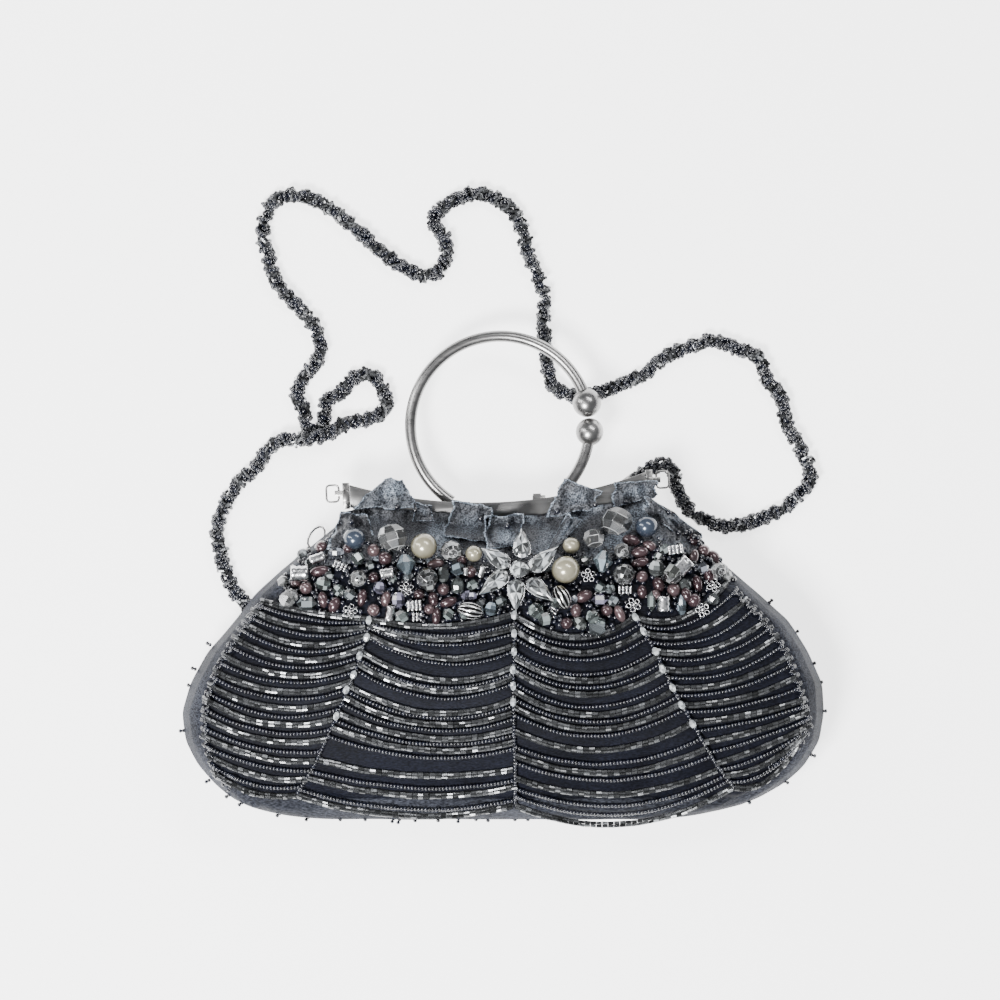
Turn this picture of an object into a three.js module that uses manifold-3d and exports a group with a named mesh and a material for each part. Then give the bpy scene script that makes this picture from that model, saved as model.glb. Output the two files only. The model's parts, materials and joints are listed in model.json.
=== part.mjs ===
// Beaded evening clutch on a bowed kiss frame, with a split ring handle and a shoulder strap of bead strands.
// Millimetres. The bag lies on its flat back at z = 0, its front faces +Z and its handle points to +Y.
import * as THREE from "three";
import { mergeVertices } from "three/addons/utils/BufferGeometryUtils.js";
import Module from "manifold-3d";

const wasm = await Module();
wasm.setup();

// Clearances
const GAP = 0.3; // between two pieces that touch

// Body
const BODY_HALF_WIDTH = 135;
const BODY_HEIGHT = 124; // from the mouth to the bottom edge
const BODY_DEPTH = 50;
const WALL = 2; // satin, padding and lining together
const MOUTH_HALF_WIDTH = 61;
const MOUTH_Y = 57; // the mouth's middle above the origin
const BACK_INSET = 26; // how far in from the rim the back turns flat
const CREASE_INSET = 9; // how far in from the rim the front panel's seam runs
const NECK_INSET = 4; // both insets where the neck goes into the frame
const CREASE_LEVEL = 0.62; // the seam's height, a share of the way from rim to crown
const CROWN_FLATNESS = 2.2;

// Frame
const FRAME_CHORD = 124;
const FRAME_RADIUS = 200; // of its upper edge
const FRAME_TALL = 9;
const FRAME_HALF_DEPTH = 6.5; // each of the two halves
const FRAME_WALL = 1.2;
const FRAME_WEB = 2.6; // the upper wall, which carries the handle
const FRAME_MIDDLE_Z = 18;
const FRAME_X = -2;
const FRAME_TILT = 2.45; // degrees, right end higher
const TAB = { x: 17.2, wide: 5.5, tall: 1.4, step: 0.8 };
const CAP = { wide: 2.8, tall: 11, rivet: 4.6, head: 0.8 };

// Strap loops on the frame's ends
const EYE = { reach: 3.4, tall: 2.4, depth: 3.8, hole: 1.9 };
const LOOP = { wide: 5.2, tall: 7, wire: 1, corner: 1.3, drop: 1.2 };

// Ring handle
const RING_RADIUS = 37.7; // of the tube's centre line
const RING_TUBE = 4.8;
const RING_RISE = 32.1; // its centre above the frame's upper edge
const RING_X = 0.8; // its centre beside the frame's middle
const LONG_ARC = { start: 14.8, end: 237.5, ball: 12.1 };
const SHORT_ARC = { start: -3.9, end: -47.5, ball: 11.7 };
const SPIGOT = { wide: 2.6, long: 2 };

// Beads
const GROUND = 1.2; // the stitched ground that carries the small beads
const SWAG_CORD = 2.2; // how far the bead strands stand off the satin
const SEAM_CRYSTAL = 3.2;

// Strap
const STRAP_WIDTH = 6.5;
const STRAP_SIDES = 8;
const STRAP_STEPS = 74;
const HOOK = { long: 10, wide: 5.8, wire: 1 };
const FERRULE = { wide: 5.4, long: 6 };

// Sections of the body from the mouth (down 0) to the bottom edge (down 1). spreadLeft and spreadRight go
// from the mouth's half width (0) to the body's (1); back, rim and crown are shares of the depth; neck says
// how much of a section follows the frame instead.
const SECTIONS = [
  { down: 0.0, neck: 1.0, spreadLeft: 0.0, spreadRight: 0.0, back: 0.2, rim: 0.33, crown: 0.43 },
  { down: 0.04, neck: 0.6, spreadLeft: 0.12, spreadRight: 0.13, back: 0.16, rim: 0.38, crown: 0.9 },
  { down: 0.09, neck: 0.3, spreadLeft: 0.26, spreadRight: 0.28, back: 0.08, rim: 0.39, crown: 0.9 },
  { down: 0.155, neck: 0.1, spreadLeft: 0.43, spreadRight: 0.45, back: 0.04, rim: 0.4, crown: 0.915 },
  { down: 0.235, neck: 0, spreadLeft: 0.58, spreadRight: 0.63, back: 0.01, rim: 0.41, crown: 0.94 },
  { down: 0.32, neck: 0, spreadLeft: 0.69, spreadRight: 0.79, back: 0, rim: 0.42, crown: 0.98 },
  { down: 0.43, neck: 0, spreadLeft: 0.85, spreadRight: 0.91, back: 0, rim: 0.41, crown: 1 },
  { down: 0.54, neck: 0, spreadLeft: 0.95, spreadRight: 0.99, back: 0, rim: 0.41, crown: 1 },
  { down: 0.635, neck: 0, spreadLeft: 1, spreadRight: 1, back: 0, rim: 0.41, crown: 0.97 },
  { down: 0.735, neck: 0, spreadLeft: 0.98, spreadRight: 0.97, back: 0, rim: 0.41, crown: 0.92 },
  { down: 0.815, neck: 0, spreadLeft: 0.91, spreadRight: 0.89, back: 0.01, rim: 0.4, crown: 0.84 },
  { down: 0.88, neck: 0, spreadLeft: 0.815, spreadRight: 0.77, back: 0.05, rim: 0.39, crown: 0.76 },
  { down: 0.93, neck: 0, spreadLeft: 0.71, spreadRight: 0.63, back: 0.11, rim: 0.38, crown: 0.68 },
  { down: 0.965, neck: 0, spreadLeft: 0.59, spreadRight: 0.45, back: 0.19, rim: 0.38, crown: 0.58 },
  { down: 0.99, neck: 0, spreadLeft: 0.38, spreadRight: 0.23, back: 0.28, rim: 0.38, crown: 0.48 },
  { down: 1.0, neck: 0, spreadLeft: 0.19, spreadRight: 0.06, back: 0.34, rim: 0.38, crown: 0.42 },
];
const SEAM_ROW = 12; // the row of SECTIONS where the front panel's lower seam runs

// The seams between the swag columns, and the panel's side edges: x at the top, middle and bottom as shares
// of the body's half width, with the height of each as a share of the body's height below the mouth.
const SWAG_LINES = [
  { name: "edge_left", topX: -0.74, topDown: 0.26, midX: -0.915, midDown: 0.62, lowX: -0.86, lowDown: 0.82 },
  { name: "seam_left", topX: -0.415, topDown: 0.34, midX: -0.505, midDown: 0.62, lowX: -0.62, lowDown: 0.9 },
  { name: "seam_middle", topX: 0.035, topDown: 0.345, midX: 0.03, midDown: 0.62, lowX: 0.035, lowDown: 0.91 },
  { name: "seam_right", topX: 0.405, topDown: 0.34, midX: 0.545, midDown: 0.62, lowX: 0.7, lowDown: 0.87 },
  { name: "edge_right", topX: 0.69, topDown: 0.22, midX: 0.91, midDown: 0.62, lowX: 0.88, lowDown: 0.82 },
];
const SWAG_SAG = [0.05, 0.05, 0.055, 0.07]; // of each column's strands, a share of the body's height
const SWAG_RIBS = 10;
const SWAG_ACROSS = 5;
const SEAM_STONES = 5;
const SEAM_REACH = 0.55; // how far down a seam its crystals go, a share of the seam

// Large stones and beads. Their places, as on all of the front, are shares: across of the body's half width
// and down of its height, from the mouth. Their sizes are in mm, because beads come in stock sizes.
const PEARLS = [
  { name: "pearl_cream_left", across: -0.244, down: 0.073, wide: 11.2, colour: 0xbebaa5 },
  { name: "pearl_cream_middle", across: -0.09, down: 0.098, wide: 7.2, colour: 0xbebaa5 },
  { name: "pearl_cream_small", across: 0.211, down: 0.071, wide: 7.4, colour: 0xbebaa5 },
  { name: "pearl_cream_right", across: 0.193, down: 0.151, wide: 12, colour: 0xbebaa5 },
  { name: "pearl_blue_left", across: -0.459, down: 0.048, wide: 9.5, colour: 0x5f6a80 },
  { name: "pearl_blue_right", across: 0.444, down: 0.006, wide: 9.6, colour: 0x5f6a80 },
];
const CRYSTALS = [
  { name: "crystal_large_left", across: -0.341, down: 0.044, wide: 13.6, tall: 10, turn: 10 },
  { name: "crystal_large_right", across: 0.352, down: -0.01, wide: 14, tall: 10, turn: 25 },
  { name: "crystal_round_left", across: -0.159, down: 0.087, wide: 9.4, tall: 8, turn: 0 },
  { name: "crystal_round_right", across: 0.28, down: 0.048, wide: 9.4, tall: 8, turn: 20 },
  { name: "crystal_outer_left", across: -0.448, down: 0.181, wide: 7.4, tall: 6.5, turn: 5 },
  { name: "crystal_outer_right", across: 0.367, down: 0.089, wide: 7, tall: 6.5, turn: 15 },
  { name: "crystal_smoky_left", across: -0.234, down: 0.182, wide: 9.2, tall: 8, turn: 15 },
  { name: "crystal_smoky_right", across: 0.373, down: 0.166, wide: 9.2, tall: 8, turn: 0 },
  { name: "crystal_pale_left", across: -0.299, down: 0.135, wide: 8.6, tall: 8, turn: 22 },
  { name: "crystal_pale_right", across: 0.308, down: 0.124, wide: 8.8, tall: 9, turn: 12 },
  { name: "crystal_far_left", across: -0.656, down: 0.239, wide: 6.6, tall: 5.5, turn: 8 },
  { name: "crystal_far_right", across: 0.667, down: 0.153, wide: 6.6, tall: 5.5, turn: 18 },
  { name: "crystal_band_right", across: 0.523, down: 0.169, wide: 8, tall: 6.5, turn: 9 },
];
const OVALS = [
  { name: "oval_fluted_left", across: -0.1, down: 0.289, long: 11.4, wide: 7.6, turn: -12 },
  { name: "oval_fluted_right", across: 0.181, down: 0.244, long: 11, wide: 7.8, turn: 118 },
];
const BARS = [
  { name: "bar_left", across: -0.274, down: 0.274, long: 7.2, wide: 4.6, turn: 5 },
  { name: "bar_right", across: 0.532, down: 0.084, long: 6.8, wide: 3.8, turn: 8 },
];

// The crystal flower: a round stone and six drops, each a share of the flower's reach
const FLOWER = { across: 0.05, down: 0.16, reach: 18.2, stone: 7.6, drop: 7.4 };
const FLOWER_TURNS = [84, 28, -44, -96, -140, 150];

// Small beads that are solid here, fused to the stitched ground of each side
const SMALL_BEADS = {
  left: [
    { across: -0.63, down: 0.161, wide: 7 },
    { across: -0.556, down: 0.237, wide: 5.4 },
    { across: -0.507, down: 0.206, wide: 6.8 },
    { across: -0.399, down: 0.097, wide: 5.4 },
    { across: -0.389, down: 0.176, wide: 5.8 },
    { across: -0.363, down: 0.25, wide: 5.8 },
    { across: -0.151, down: 0.161, wide: 5.6 },
    { across: -0.173, down: 0.255, wide: 5.8 },
  ],
  right: [
    { across: 0.262, down: 0.189, wide: 6.4 },
    { across: 0.247, down: 0.26, wide: 6.2 },
    { across: 0.319, down: 0.284, wide: 5.4 },
    { across: 0.382, down: 0.231, wide: 5.8 },
    { across: 0.428, down: 0.123, wide: 5.4 },
    { across: 0.471, down: 0.169, wide: 5.6 },
    { across: 0.56, down: 0.131, wide: 5.2 },
    { across: 0.575, down: 0.194, wide: 6.2 },
    { across: 0.615, down: 0.134, wide: 5.6 },
  ],
};
// The stitched ground's lower and upper edge: shares of the body's height below the mouth, at shares of the
// body's half width
const GROUND_EDGE = [
  { across: -0.71, upper: 0.17, lower: 0.245 },
  { across: -0.56, upper: 0.085, lower: 0.285 },
  { across: -0.42, upper: 0.07, lower: 0.31 },
  { across: -0.2, upper: 0.085, lower: 0.32 },
  { across: 0.03, upper: 0.095, lower: 0.32 },
  { across: 0.2, upper: 0.085, lower: 0.325 },
  { across: 0.42, upper: 0.06, lower: 0.33 },
  { across: 0.58, upper: 0.07, lower: 0.28 },
  { across: 0.69, upper: 0.15, lower: 0.2 },
];
const GROUND_ACROSS = 9;
const GROUND_DOWN = 4;

// Ribbon petals: place, size, turn in degrees, number of folds and how high each lies on the others
const PETALS = [
  { name: "left_peak", across: -0.352, down: -0.097, wide: 25, tall: 11, turn: 14, folds: 2, layer: 1 },
  { name: "left_small", across: -0.247, down: -0.053, wide: 8.4, tall: 7, turn: -12, folds: 1, layer: 2 },
  { name: "left_broad", across: -0.123, down: -0.013, wide: 20, tall: 15, turn: -8, folds: 3, layer: 1 },
  { name: "middle", across: 0.004, down: 0.013, wide: 15, tall: 12.6, turn: 4, folds: 2, layer: 2 },
  { name: "right_star", across: 0.23, down: -0.094, wide: 22, tall: 12, turn: -20, folds: 2, layer: 1 },
  { name: "right_cone", across: 0.173, down: 0.021, wide: 6.4, tall: 18, turn: -33, folds: 1, layer: 2 },
  { name: "right_square", across: 0.404, down: -0.105, wide: 17, tall: 9.6, turn: 6, folds: 2, layer: 2 },
  { name: "right_shoulder", across: 0.538, down: -0.032, wide: 18, tall: 7.6, turn: -52, folds: 3, layer: 1 },
  { name: "left_shoulder", across: -0.486, down: 0.002, wide: 16, tall: 8, turn: 30, folds: 3, layer: 1 },
];
const PETAL = { thick: 1, fold: 1.5, layer: 3.2, across: 5, along: 3 };

// The strap's route on the surface, chosen points from the end behind the left shoulder to the right end
const STRAP_ROUTE = [
  [-86.2, 40.4, 0], [-91, 33.2, 0], [-97, 27, 0], [-103.6, 21.8, 0], [-111.8, 26.6, 0], [-117, 36.6, 0],
  [-119.4, 46, 0], [-121, 54.5, 0], [-117.5, 64.5, 0], [-113, 73, 0], [-105, 80.5, 0], [-100.5, 86.5, 0],
  [-95, 92, 1], [-87.5, 92.8, 4.5], [-80, 93, 7.2], [-73, 95.4, 6.2], [-66.5, 99.5, 2], [-57.5, 101.2, 0],
  [-50, 105, 0], [-49.8, 111, 0], [-53, 118, 0], [-58.5, 120.5, 0], [-64.5, 117.5, 0], [-69, 111.5, 0],
  [-74.2, 110, 0], [-75.2, 104.5, 0], [-76.2, 98.5, 0], [-79.8, 95.2, 0], [-83, 99, 0], [-84.2, 105.5, 0],
  [-87, 111, 0], [-84.5, 118.5, 0], [-78.5, 126, 0], [-77, 133.5, 0], [-80.5, 142, 0], [-88, 150, 0],
  [-95.5, 159, 0], [-98.5, 168, 0], [-101, 177.5, 0], [-100.5, 187.5, 0], [-95.5, 194, 0], [-86, 196, 0],
  [-75, 191.4, 0], [-62, 181.5, 0], [-49.5, 170.5, 0], [-38.5, 163.5, 0], [-29.5, 162, 0], [-24.6, 168, 0],
  [-24.4, 177, 0], [-29.5, 185.5, 0], [-22.5, 192.5, 0], [-12, 196.6, 0], [-2, 194, 0], [6, 186.6, 0],
  [9.4, 176, 0], [13, 165, 0], [17, 155, 0], [17.2, 142, 0], [18, 129.5, 0], [20.6, 116.5, 0],
  [28.5, 111.5, 0], [40.5, 112.6, 0], [52, 117, 0], [61.5, 121.5, 0], [69, 128, 0], [79, 132, 0],
  [88.5, 134.6, 0], [99, 131, 0], [107.5, 127.5, 0], [111.5, 118.5, 0], [117.4, 110.5, 0], [120, 99.5, 0],
  [126, 88, 0], [130, 78, 0], [125.5, 69.6, 0], [116, 62.4, 0], [105, 58, 0], [94.5, 56, 0],
  [85.5, 58.4, 0], [77.5, 64.5, 0], [73.6, 72, 0], [71.6, 79.5, 0], [66.5, 82.6, 0], [60.5, 79, 0],
  [54.5, 75.6, 0],
];
const HOOK_ENDS = [
  { name: "strap_hook_left", atStart: true },
  { name: "strap_hook_right", atStart: false },
];

// Colours and finishes
const MATERIALS = {
  satin: { color: 0x3c4150, roughness: 0.7, metalness: 0 },
  border: { color: 0x686c76, roughness: 0.6, metalness: 0 },
  gunmetal: { color: 0x66665f, roughness: 0.35, metalness: 0.9 },
  ribbon: { color: 0x6b7488, roughness: 0.45, metalness: 0.2 },
  crystal: { color: 0xc8d2da, roughness: 0.08, metalness: 0 },
  silver: { color: 0x9a9a9a, roughness: 0.3, metalness: 0.9 },
  beads: { color: 0x4a3f46, roughness: 0.35, metalness: 0 },
  seeds: { color: 0x2a2e38, roughness: 0.3, metalness: 0.1 },
  rope: { color: 0x34363a, roughness: 0.4, metalness: 0.2 },
};

const lerp = THREE.MathUtils.lerp;
const radians = THREE.MathUtils.degToRad;

// A solid turned by a quaternion about the origin
function turned(solid, quaternion) {
  return solid.transform(new THREE.Matrix4().makeRotationFromQuaternion(quaternion).toArray());
}

// A three.js geometry as a solid that can be joined and cut
function solidOf(geometry) {
  const bare = geometry.clone();
  bare.deleteAttribute("normal");
  bare.deleteAttribute("uv");
  const merged = mergeVertices(bare, 1e-4);
  return new wasm.Manifold(
    new wasm.Mesh({
      numProp: 3,
      vertProperties: new Float32Array(merged.attributes.position.array),
      triVerts: new Uint32Array(merged.index.array),
    }),
  );
}

// A solid back as a three.js geometry
function geometryOf(solid) {
  const mesh = solid.getMesh();
  const geometry = new THREE.BufferGeometry();
  geometry.setAttribute("position", new THREE.BufferAttribute(mesh.vertProperties, 3));
  geometry.setIndex(new THREE.BufferAttribute(mesh.triVerts, 1));
  return geometry.toNonIndexed();
}

// A named mesh with one of the materials above
function piece(name, geometry, finish, colour) {
  const looks = { ...MATERIALS[finish], ...(colour && { color: colour }) };
  const material = new THREE.MeshStandardMaterial(looks);
  geometry.computeVertexNormals();
  const mesh = new THREE.Mesh(geometry, material);
  mesh.name = name;
  return mesh;
}

// A closed solid through rings of points, all with the same count. With wrap the last ring joins the first.
function loft(rings, wrap = false) {
  const positions = [];
  const count = rings[0].length;
  const face = (a, b, c) => positions.push(...a.toArray(), ...b.toArray(), ...c.toArray());
  const pairs = wrap ? rings.length : rings.length - 1;
  for (let r = 0; r < pairs; r += 1) {
    const low = rings[r];
    const high = rings[(r + 1) % rings.length];
    for (let i = 0; i < count; i += 1) {
      const j = (i + 1) % count;
      face(low[i], low[j], high[j]);
      face(low[i], high[j], high[i]);
    }
  }
  if (!wrap) {
    const first = rings[0];
    const last = rings[rings.length - 1];
    const centreOf = (ring) =>
      ring.reduce((sum, p) => sum.add(p), new THREE.Vector3()).divideScalar(ring.length);
    const start = centreOf(first);
    const finish = centreOf(last);
    for (let i = 0; i < count; i += 1) {
      const j = (i + 1) % count;
      face(start, first[j], first[i]);
      face(finish, last[i], last[j]);
    }
  }
  const geometry = new THREE.BufferGeometry();
  geometry.setAttribute("position", new THREE.Float32BufferAttribute(positions, 3));
  return geometry;
}

// A closed slab between a lower and an upper grid of points, both as rows of equal length. Both sides are
// split along the same diagonals, so that a thin slab never crosses itself.
function slab(lower, upper) {
  const positions = [];
  const face = (a, b, c) => positions.push(...a.toArray(), ...b.toArray(), ...c.toArray());
  const wall = (a, b) => {
    face(lower[a[0]][a[1]], lower[b[0]][b[1]], upper[b[0]][b[1]]);
    face(lower[a[0]][a[1]], upper[b[0]][b[1]], upper[a[0]][a[1]]);
  };
  const lastRow = lower.length - 1;
  const lastColumn = lower[0].length - 1;
  for (let r = 0; r < lastRow; r += 1) {
    for (let c = 0; c < lastColumn; c += 1) {
      face(lower[r][c], lower[r + 1][c + 1], lower[r + 1][c]);
      face(lower[r][c], lower[r][c + 1], lower[r + 1][c + 1]);
      face(upper[r][c], upper[r + 1][c], upper[r + 1][c + 1]);
      face(upper[r][c], upper[r + 1][c + 1], upper[r][c + 1]);
    }
    wall([r + 1, lastColumn], [r, lastColumn]);
    wall([r, 0], [r + 1, 0]);
  }
  for (let c = 0; c < lastColumn; c += 1) {
    wall([0, c + 1], [0, c]);
    wall([lastRow, c], [lastRow, c + 1]);
  }
  const geometry = new THREE.BufferGeometry();
  geometry.setAttribute("position", new THREE.Float32BufferAttribute(positions, 3));
  return geometry;
}

// How far the frame's upper edge, or another edge of its bow, rises above its middle at a distance from it
function frameRise(x, radius = FRAME_RADIUS) {
  return radius - Math.sqrt(radius ** 2 - x ** 2);
}

// Where the two layers of satin go into the frame's slots
const SLOT_OFFSET = GAP / 2 + FRAME_HALF_DEPTH - FRAME_WALL - WALL / 2 - GAP;
const MOUTH_FRONT = FRAME_MIDDLE_Z + SLOT_OFFSET + WALL / 2;
const MOUTH_BACK = FRAME_MIDDLE_Z - SLOT_OFFSET - WALL / 2;
const FRAME_TOP = MOUTH_Y + GAP + FRAME_TALL; // the frame's upper edge at its middle

// One section of the body in millimetres, from a row of shares
function sectionFrom(row) {
  const spread = BODY_HALF_WIDTH - MOUTH_HALF_WIDTH;
  return {
    y: MOUTH_Y - row.down * BODY_HEIGHT,
    left: MOUTH_HALF_WIDTH + row.spreadLeft * spread - FRAME_X * row.neck,
    right: MOUTH_HALF_WIDTH + row.spreadRight * spread + FRAME_X * row.neck,
    back: lerp(row.back * BODY_DEPTH, MOUTH_BACK, row.neck),
    rim: lerp(row.rim * BODY_DEPTH, FRAME_MIDDLE_Z, row.neck),
    crown: lerp(row.crown * BODY_DEPTH, MOUTH_FRONT, row.neck),
    backInset: lerp(BACK_INSET, NECK_INSET, row.neck),
    creaseInset: lerp(CREASE_INSET, NECK_INSET, row.neck),
    creaseLevel: lerp(CREASE_LEVEL, 1, row.neck),
    rise: row.neck * frameRise(MOUTH_HALF_WIDTH, FRAME_RADIUS + FRAME_TALL),
    tilt: row.neck * Math.tan(radians(FRAME_TILT)),
    down: row.down,
  };
}

// The same section drawn in by the wall, for the hollow inside
function innerOf(section) {
  const upTurn = Math.max(0, (section.down - 0.8) / 0.2);
  return {
    ...section,
    y: section.y + WALL * upTurn,
    left: section.left - WALL,
    right: section.right - WALL,
    back: section.back + WALL,
    crown: section.crown - WALL,
    backInset: Math.max(section.backInset - WALL, 1.5),
    creaseInset: Math.max(section.creaseInset - WALL, 1.5),
  };
}

// The section's front surface at a distance in from its rim
function frontLevel(section, inside, half) {
  const crease = lerp(section.rim, section.crown, section.creaseLevel);
  if (inside < section.creaseInset) {
    return lerp(section.rim, crease, Math.sin((Math.PI / 2) * Math.max(inside, 0) / section.creaseInset));
  }
  const share = Math.min(1, (inside - section.creaseInset) / (half - section.creaseInset));
  return lerp(crease, section.crown, 1 - (1 - share) ** CROWN_FLATNESS);
}

// The outline of one section as a ring of points, counter-clockwise seen from the mouth
const CROWN_SHARES = [0, 0.14, 0.36, 0.66];
const BACK_ANGLES = [90, 52, 0];
function ringOf(section) {
  const flank = (half, side) => {
    const points = [];
    BACK_ANGLES.slice().reverse().forEach((angle) => {
      const across = half - section.backInset * (1 - Math.sin(radians(angle)));
      points.push([side * across, section.rim - (section.rim - section.back) * Math.cos(radians(angle))]);
    });
    const bulge = section.creaseInset * 0.4;
    points.push([side * (half - bulge), frontLevel(section, bulge, half)]);
    CROWN_SHARES.forEach((share) => {
      const inside = lerp(section.creaseInset, half, share);
      points.push([side * (half - inside), frontLevel(section, inside, half)]);
    });
    return points;
  };
  const right = flank(section.right, 1);
  const left = flank(section.left, -1).reverse();
  const profile = [[0, section.back], ...right, [0, section.crown], ...left];
  return profile.map(([x, z]) => {
    const share = x / (x < 0 ? section.left : section.right);
    return new THREE.Vector3(x, section.y + section.rise * share ** 2 + section.tilt * x, z);
  });
}

const outerSections = SECTIONS.map(sectionFrom);

// The section that passes through a point of the front, between two rows of the table
function sectionThrough(x, y) {
  let low = outerSections[0];
  for (const high of outerSections.slice(1)) {
    const edge = edgeY(high, x);
    if (y > edge) {
      const above = edgeY(low, x);
      const share = THREE.MathUtils.clamp((above - y) / (above - edge), 0, 1);
      const between = {};
      Object.keys(low).forEach((key) => (between[key] = lerp(low[key], high[key], share)));
      return between;
    }
    low = high;
  }
  return low;
}

// How high a section runs at one place across, with the frame's bow and tilt
function edgeY(section, x) {
  const half = x < 0 ? section.left : section.right;
  return section.y + section.rise * Math.min(1, Math.abs(x) / half) ** 2 + section.tilt * x;
}

// A row of a table with its place in millimetres added
function placed(row) {
  return { ...row, x: row.across * BODY_HALF_WIDTH, y: MOUTH_Y - row.down * BODY_HEIGHT };
}

// The height of the body's front surface over a point
function frontHeight(x, y) {
  const section = sectionThrough(x, y);
  const half = x < 0 ? section.left : section.right;
  return frontLevel(section, half - Math.abs(x), half);
}

// How steep the front is over a point: its length along the surface for each millimetre seen from the front
function steepness(x, y) {
  const slopeX = (frontHeight(x + 1, y) - frontHeight(x - 1, y)) / 2;
  const slopeY = (frontHeight(x, y + 1) - frontHeight(x, y - 1)) / 2;
  return Math.hypot(1, slopeX, slopeY);
}

// The direction in which the front panel faces over a point
function facing(x, y) {
  const slopeX = (frontHeight(x + 2, y) - frontHeight(x - 2, y)) / 4;
  const slopeY = (frontHeight(x, y + 2) - frontHeight(x, y - 2)) / 4;
  return new THREE.Vector3(-slopeX, -slopeY, 1).normalize();
}

// The turn that leans a piece from upright to the way that the front panel faces over a point
function leanOf(x, y) {
  return new THREE.Quaternion().setFromUnitVectors(new THREE.Vector3(0, 0, 1), facing(x, y));
}

// Lowers a solid on to a heap of others, from a height clear of them, until only the clearance is left
function settle(solid, heap, x, y, from) {
  const meets = (z) => heap.intersect(solid.translate([x, y, z])).volume() > 0;
  let clear = from;
  let met = clear - 1;
  while (met > from - BODY_DEPTH && !meets(met)) {
    clear = met;
    met -= 1;
  }
  for (let halving = 0; halving < 6; halving += 1) {
    const middle = (clear + met) / 2;
    if (meets(middle)) met = middle;
    else clear = middle;
  }
  return solid.translate([x, y, clear + GAP]);
}

// Named meshes as one heap that others can rest on
function heapOf(meshes) {
  return meshes.map((mesh) => solidOf(mesh.geometry)).reduce((sum, solid) => sum.add(solid));
}

// Lays a grid of flat points on the front and gives it a thickness at each point. A corner is raised where
// the straight edges that meet there would cut through the curved panel.
function drape(grid, thicknessAt) {
  const heights = grid.map((row) => row.map((p) => frontHeight(p.x, p.y)));
  const neighbours = [[0, 1], [1, 0], [1, 1], [0, -1], [-1, 0], [-1, -1]];
  const lower = [];
  const upper = [];
  grid.forEach((row, r) => {
    lower.push([]);
    upper.push([]);
    row.forEach((p, c) => {
      let bulge = 0;
      neighbours.forEach(([dr, dc]) => {
        const other = grid[r + dr]?.[c + dc];
        if (!other) return;
        const chord = (heights[r][c] + heights[r + dr][c + dc]) / 2;
        bulge = Math.max(bulge, frontHeight((p.x + other.x) / 2, (p.y + other.y) / 2) - chord);
      });
      const z = heights[r][c] + bulge * 1.2 + GAP * 1.4 * steepness(p.x, p.y);
      lower[r].push(new THREE.Vector3(p.x, p.y, z));
      upper[r].push(new THREE.Vector3(p.x, p.y, z + thicknessAt(r) * steepness(p.x, p.y)));
    });
  });
  return solidOf(slab(lower, upper));
}

// The front panel's outline, inside the seam that runs round it, drawn out or in by a margin
function panelPrism(margin) {
  const rows = outerSections.slice(0, SEAM_ROW + 1);
  const shape = new THREE.Shape();
  const top = FRAME_TOP + FRAME_TALL * 2;
  const corner = (row, side) => {
    const half = side < 0 ? row.left : row.right;
    return [side * (half - row.creaseInset + margin), edgeY(row, side * half)];
  };
  shape.moveTo(corner(rows[0], 1)[0], top);
  rows.forEach((row) => shape.lineTo(...corner(row, 1)));
  const last = rows[rows.length - 1];
  shape.lineTo((last.right - last.creaseInset) * 0.8, last.y - margin);
  shape.lineTo(-(last.left - last.creaseInset) * 0.8, last.y - margin);
  rows.slice().reverse().forEach((row) => shape.lineTo(...corner(row, -1)));
  shape.lineTo(corner(rows[0], -1)[0], top);
  const prism = new THREE.ExtrudeGeometry(shape, { depth: BODY_DEPTH * 2, bevelEnabled: false });
  prism.translate(0, 0, FRAME_MIDDLE_Z + WALL / 2);
  return solidOf(prism);
}

// A part of the frame's bow from one radius to another, between two heights, cut off square at its ends
function bow(fromRadius, toRadius, fromZ, toZ, halfChord) {
  const reach = Math.asin((halfChord + 4) / FRAME_RADIUS);
  const shape = new THREE.Shape();
  shape.absarc(0, FRAME_RADIUS, toRadius, -Math.PI / 2 - reach, -Math.PI / 2 + reach, false);
  shape.absarc(0, FRAME_RADIUS, fromRadius, -Math.PI / 2 + reach, -Math.PI / 2 - reach, true);
  const depth = toZ - fromZ;
  const bar = new THREE.ExtrudeGeometry(shape, { depth, bevelEnabled: false, curveSegments: 10 });
  bar.translate(0, 0, fromZ);
  const keep = new THREE.BoxGeometry(halfChord * 2, FRAME_RADIUS * 2, BODY_DEPTH * 2);
  return solidOf(bar).intersect(solidOf(keep));
}

// Moves a solid of the frame's own frame to its place on the body
function onFrame(solid) {
  return solid.rotate([0, 0, FRAME_TILT]).translate([FRAME_X, FRAME_TOP, FRAME_MIDDLE_Z]);
}

// The turned-in edge of one layer of satin, which stands in a slot of the frame
function mouthEdge(side) {
  const middle = side * SLOT_OFFSET;
  const top = FRAME_RADIUS + FRAME_WEB + GAP;
  const low = FRAME_RADIUS + FRAME_TALL + WALL * 2;
  return onFrame(bow(top, low, middle - WALL / 2, middle + WALL / 2, FRAME_CHORD / 2 - NECK_INSET * 2));
}

// A section moved up
function raised(section, by) {
  return { ...section, y: section.y + by };
}

function makeBody() {
  const collar = raised(outerSections[0], WALL * 2);
  const outer = solidOf(loft([collar, ...outerSections].map(ringOf)));
  const hollowSections = outerSections.slice(0, -1).map(innerOf);
  const above = raised(hollowSections[0], WALL * 3);
  const hollow = solidOf(loft([above, ...hollowSections].map(ringOf)));
  const trim = bow(FRAME_RADIUS / 2, FRAME_RADIUS + FRAME_TALL + GAP, -BODY_DEPTH, BODY_DEPTH, FRAME_CHORD);
  const shell = outer.subtract(hollow).subtract(onFrame(trim));
  const front = shell.intersect(panelPrism(0)).add(mouthEdge(1));
  const back = shell.subtract(panelPrism(GAP)).add(mouthEdge(-1));
  return [
    piece("front_panel", geometryOf(front), "satin"),
    piece("back_shell", geometryOf(back), "border"),
  ];
}

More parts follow.
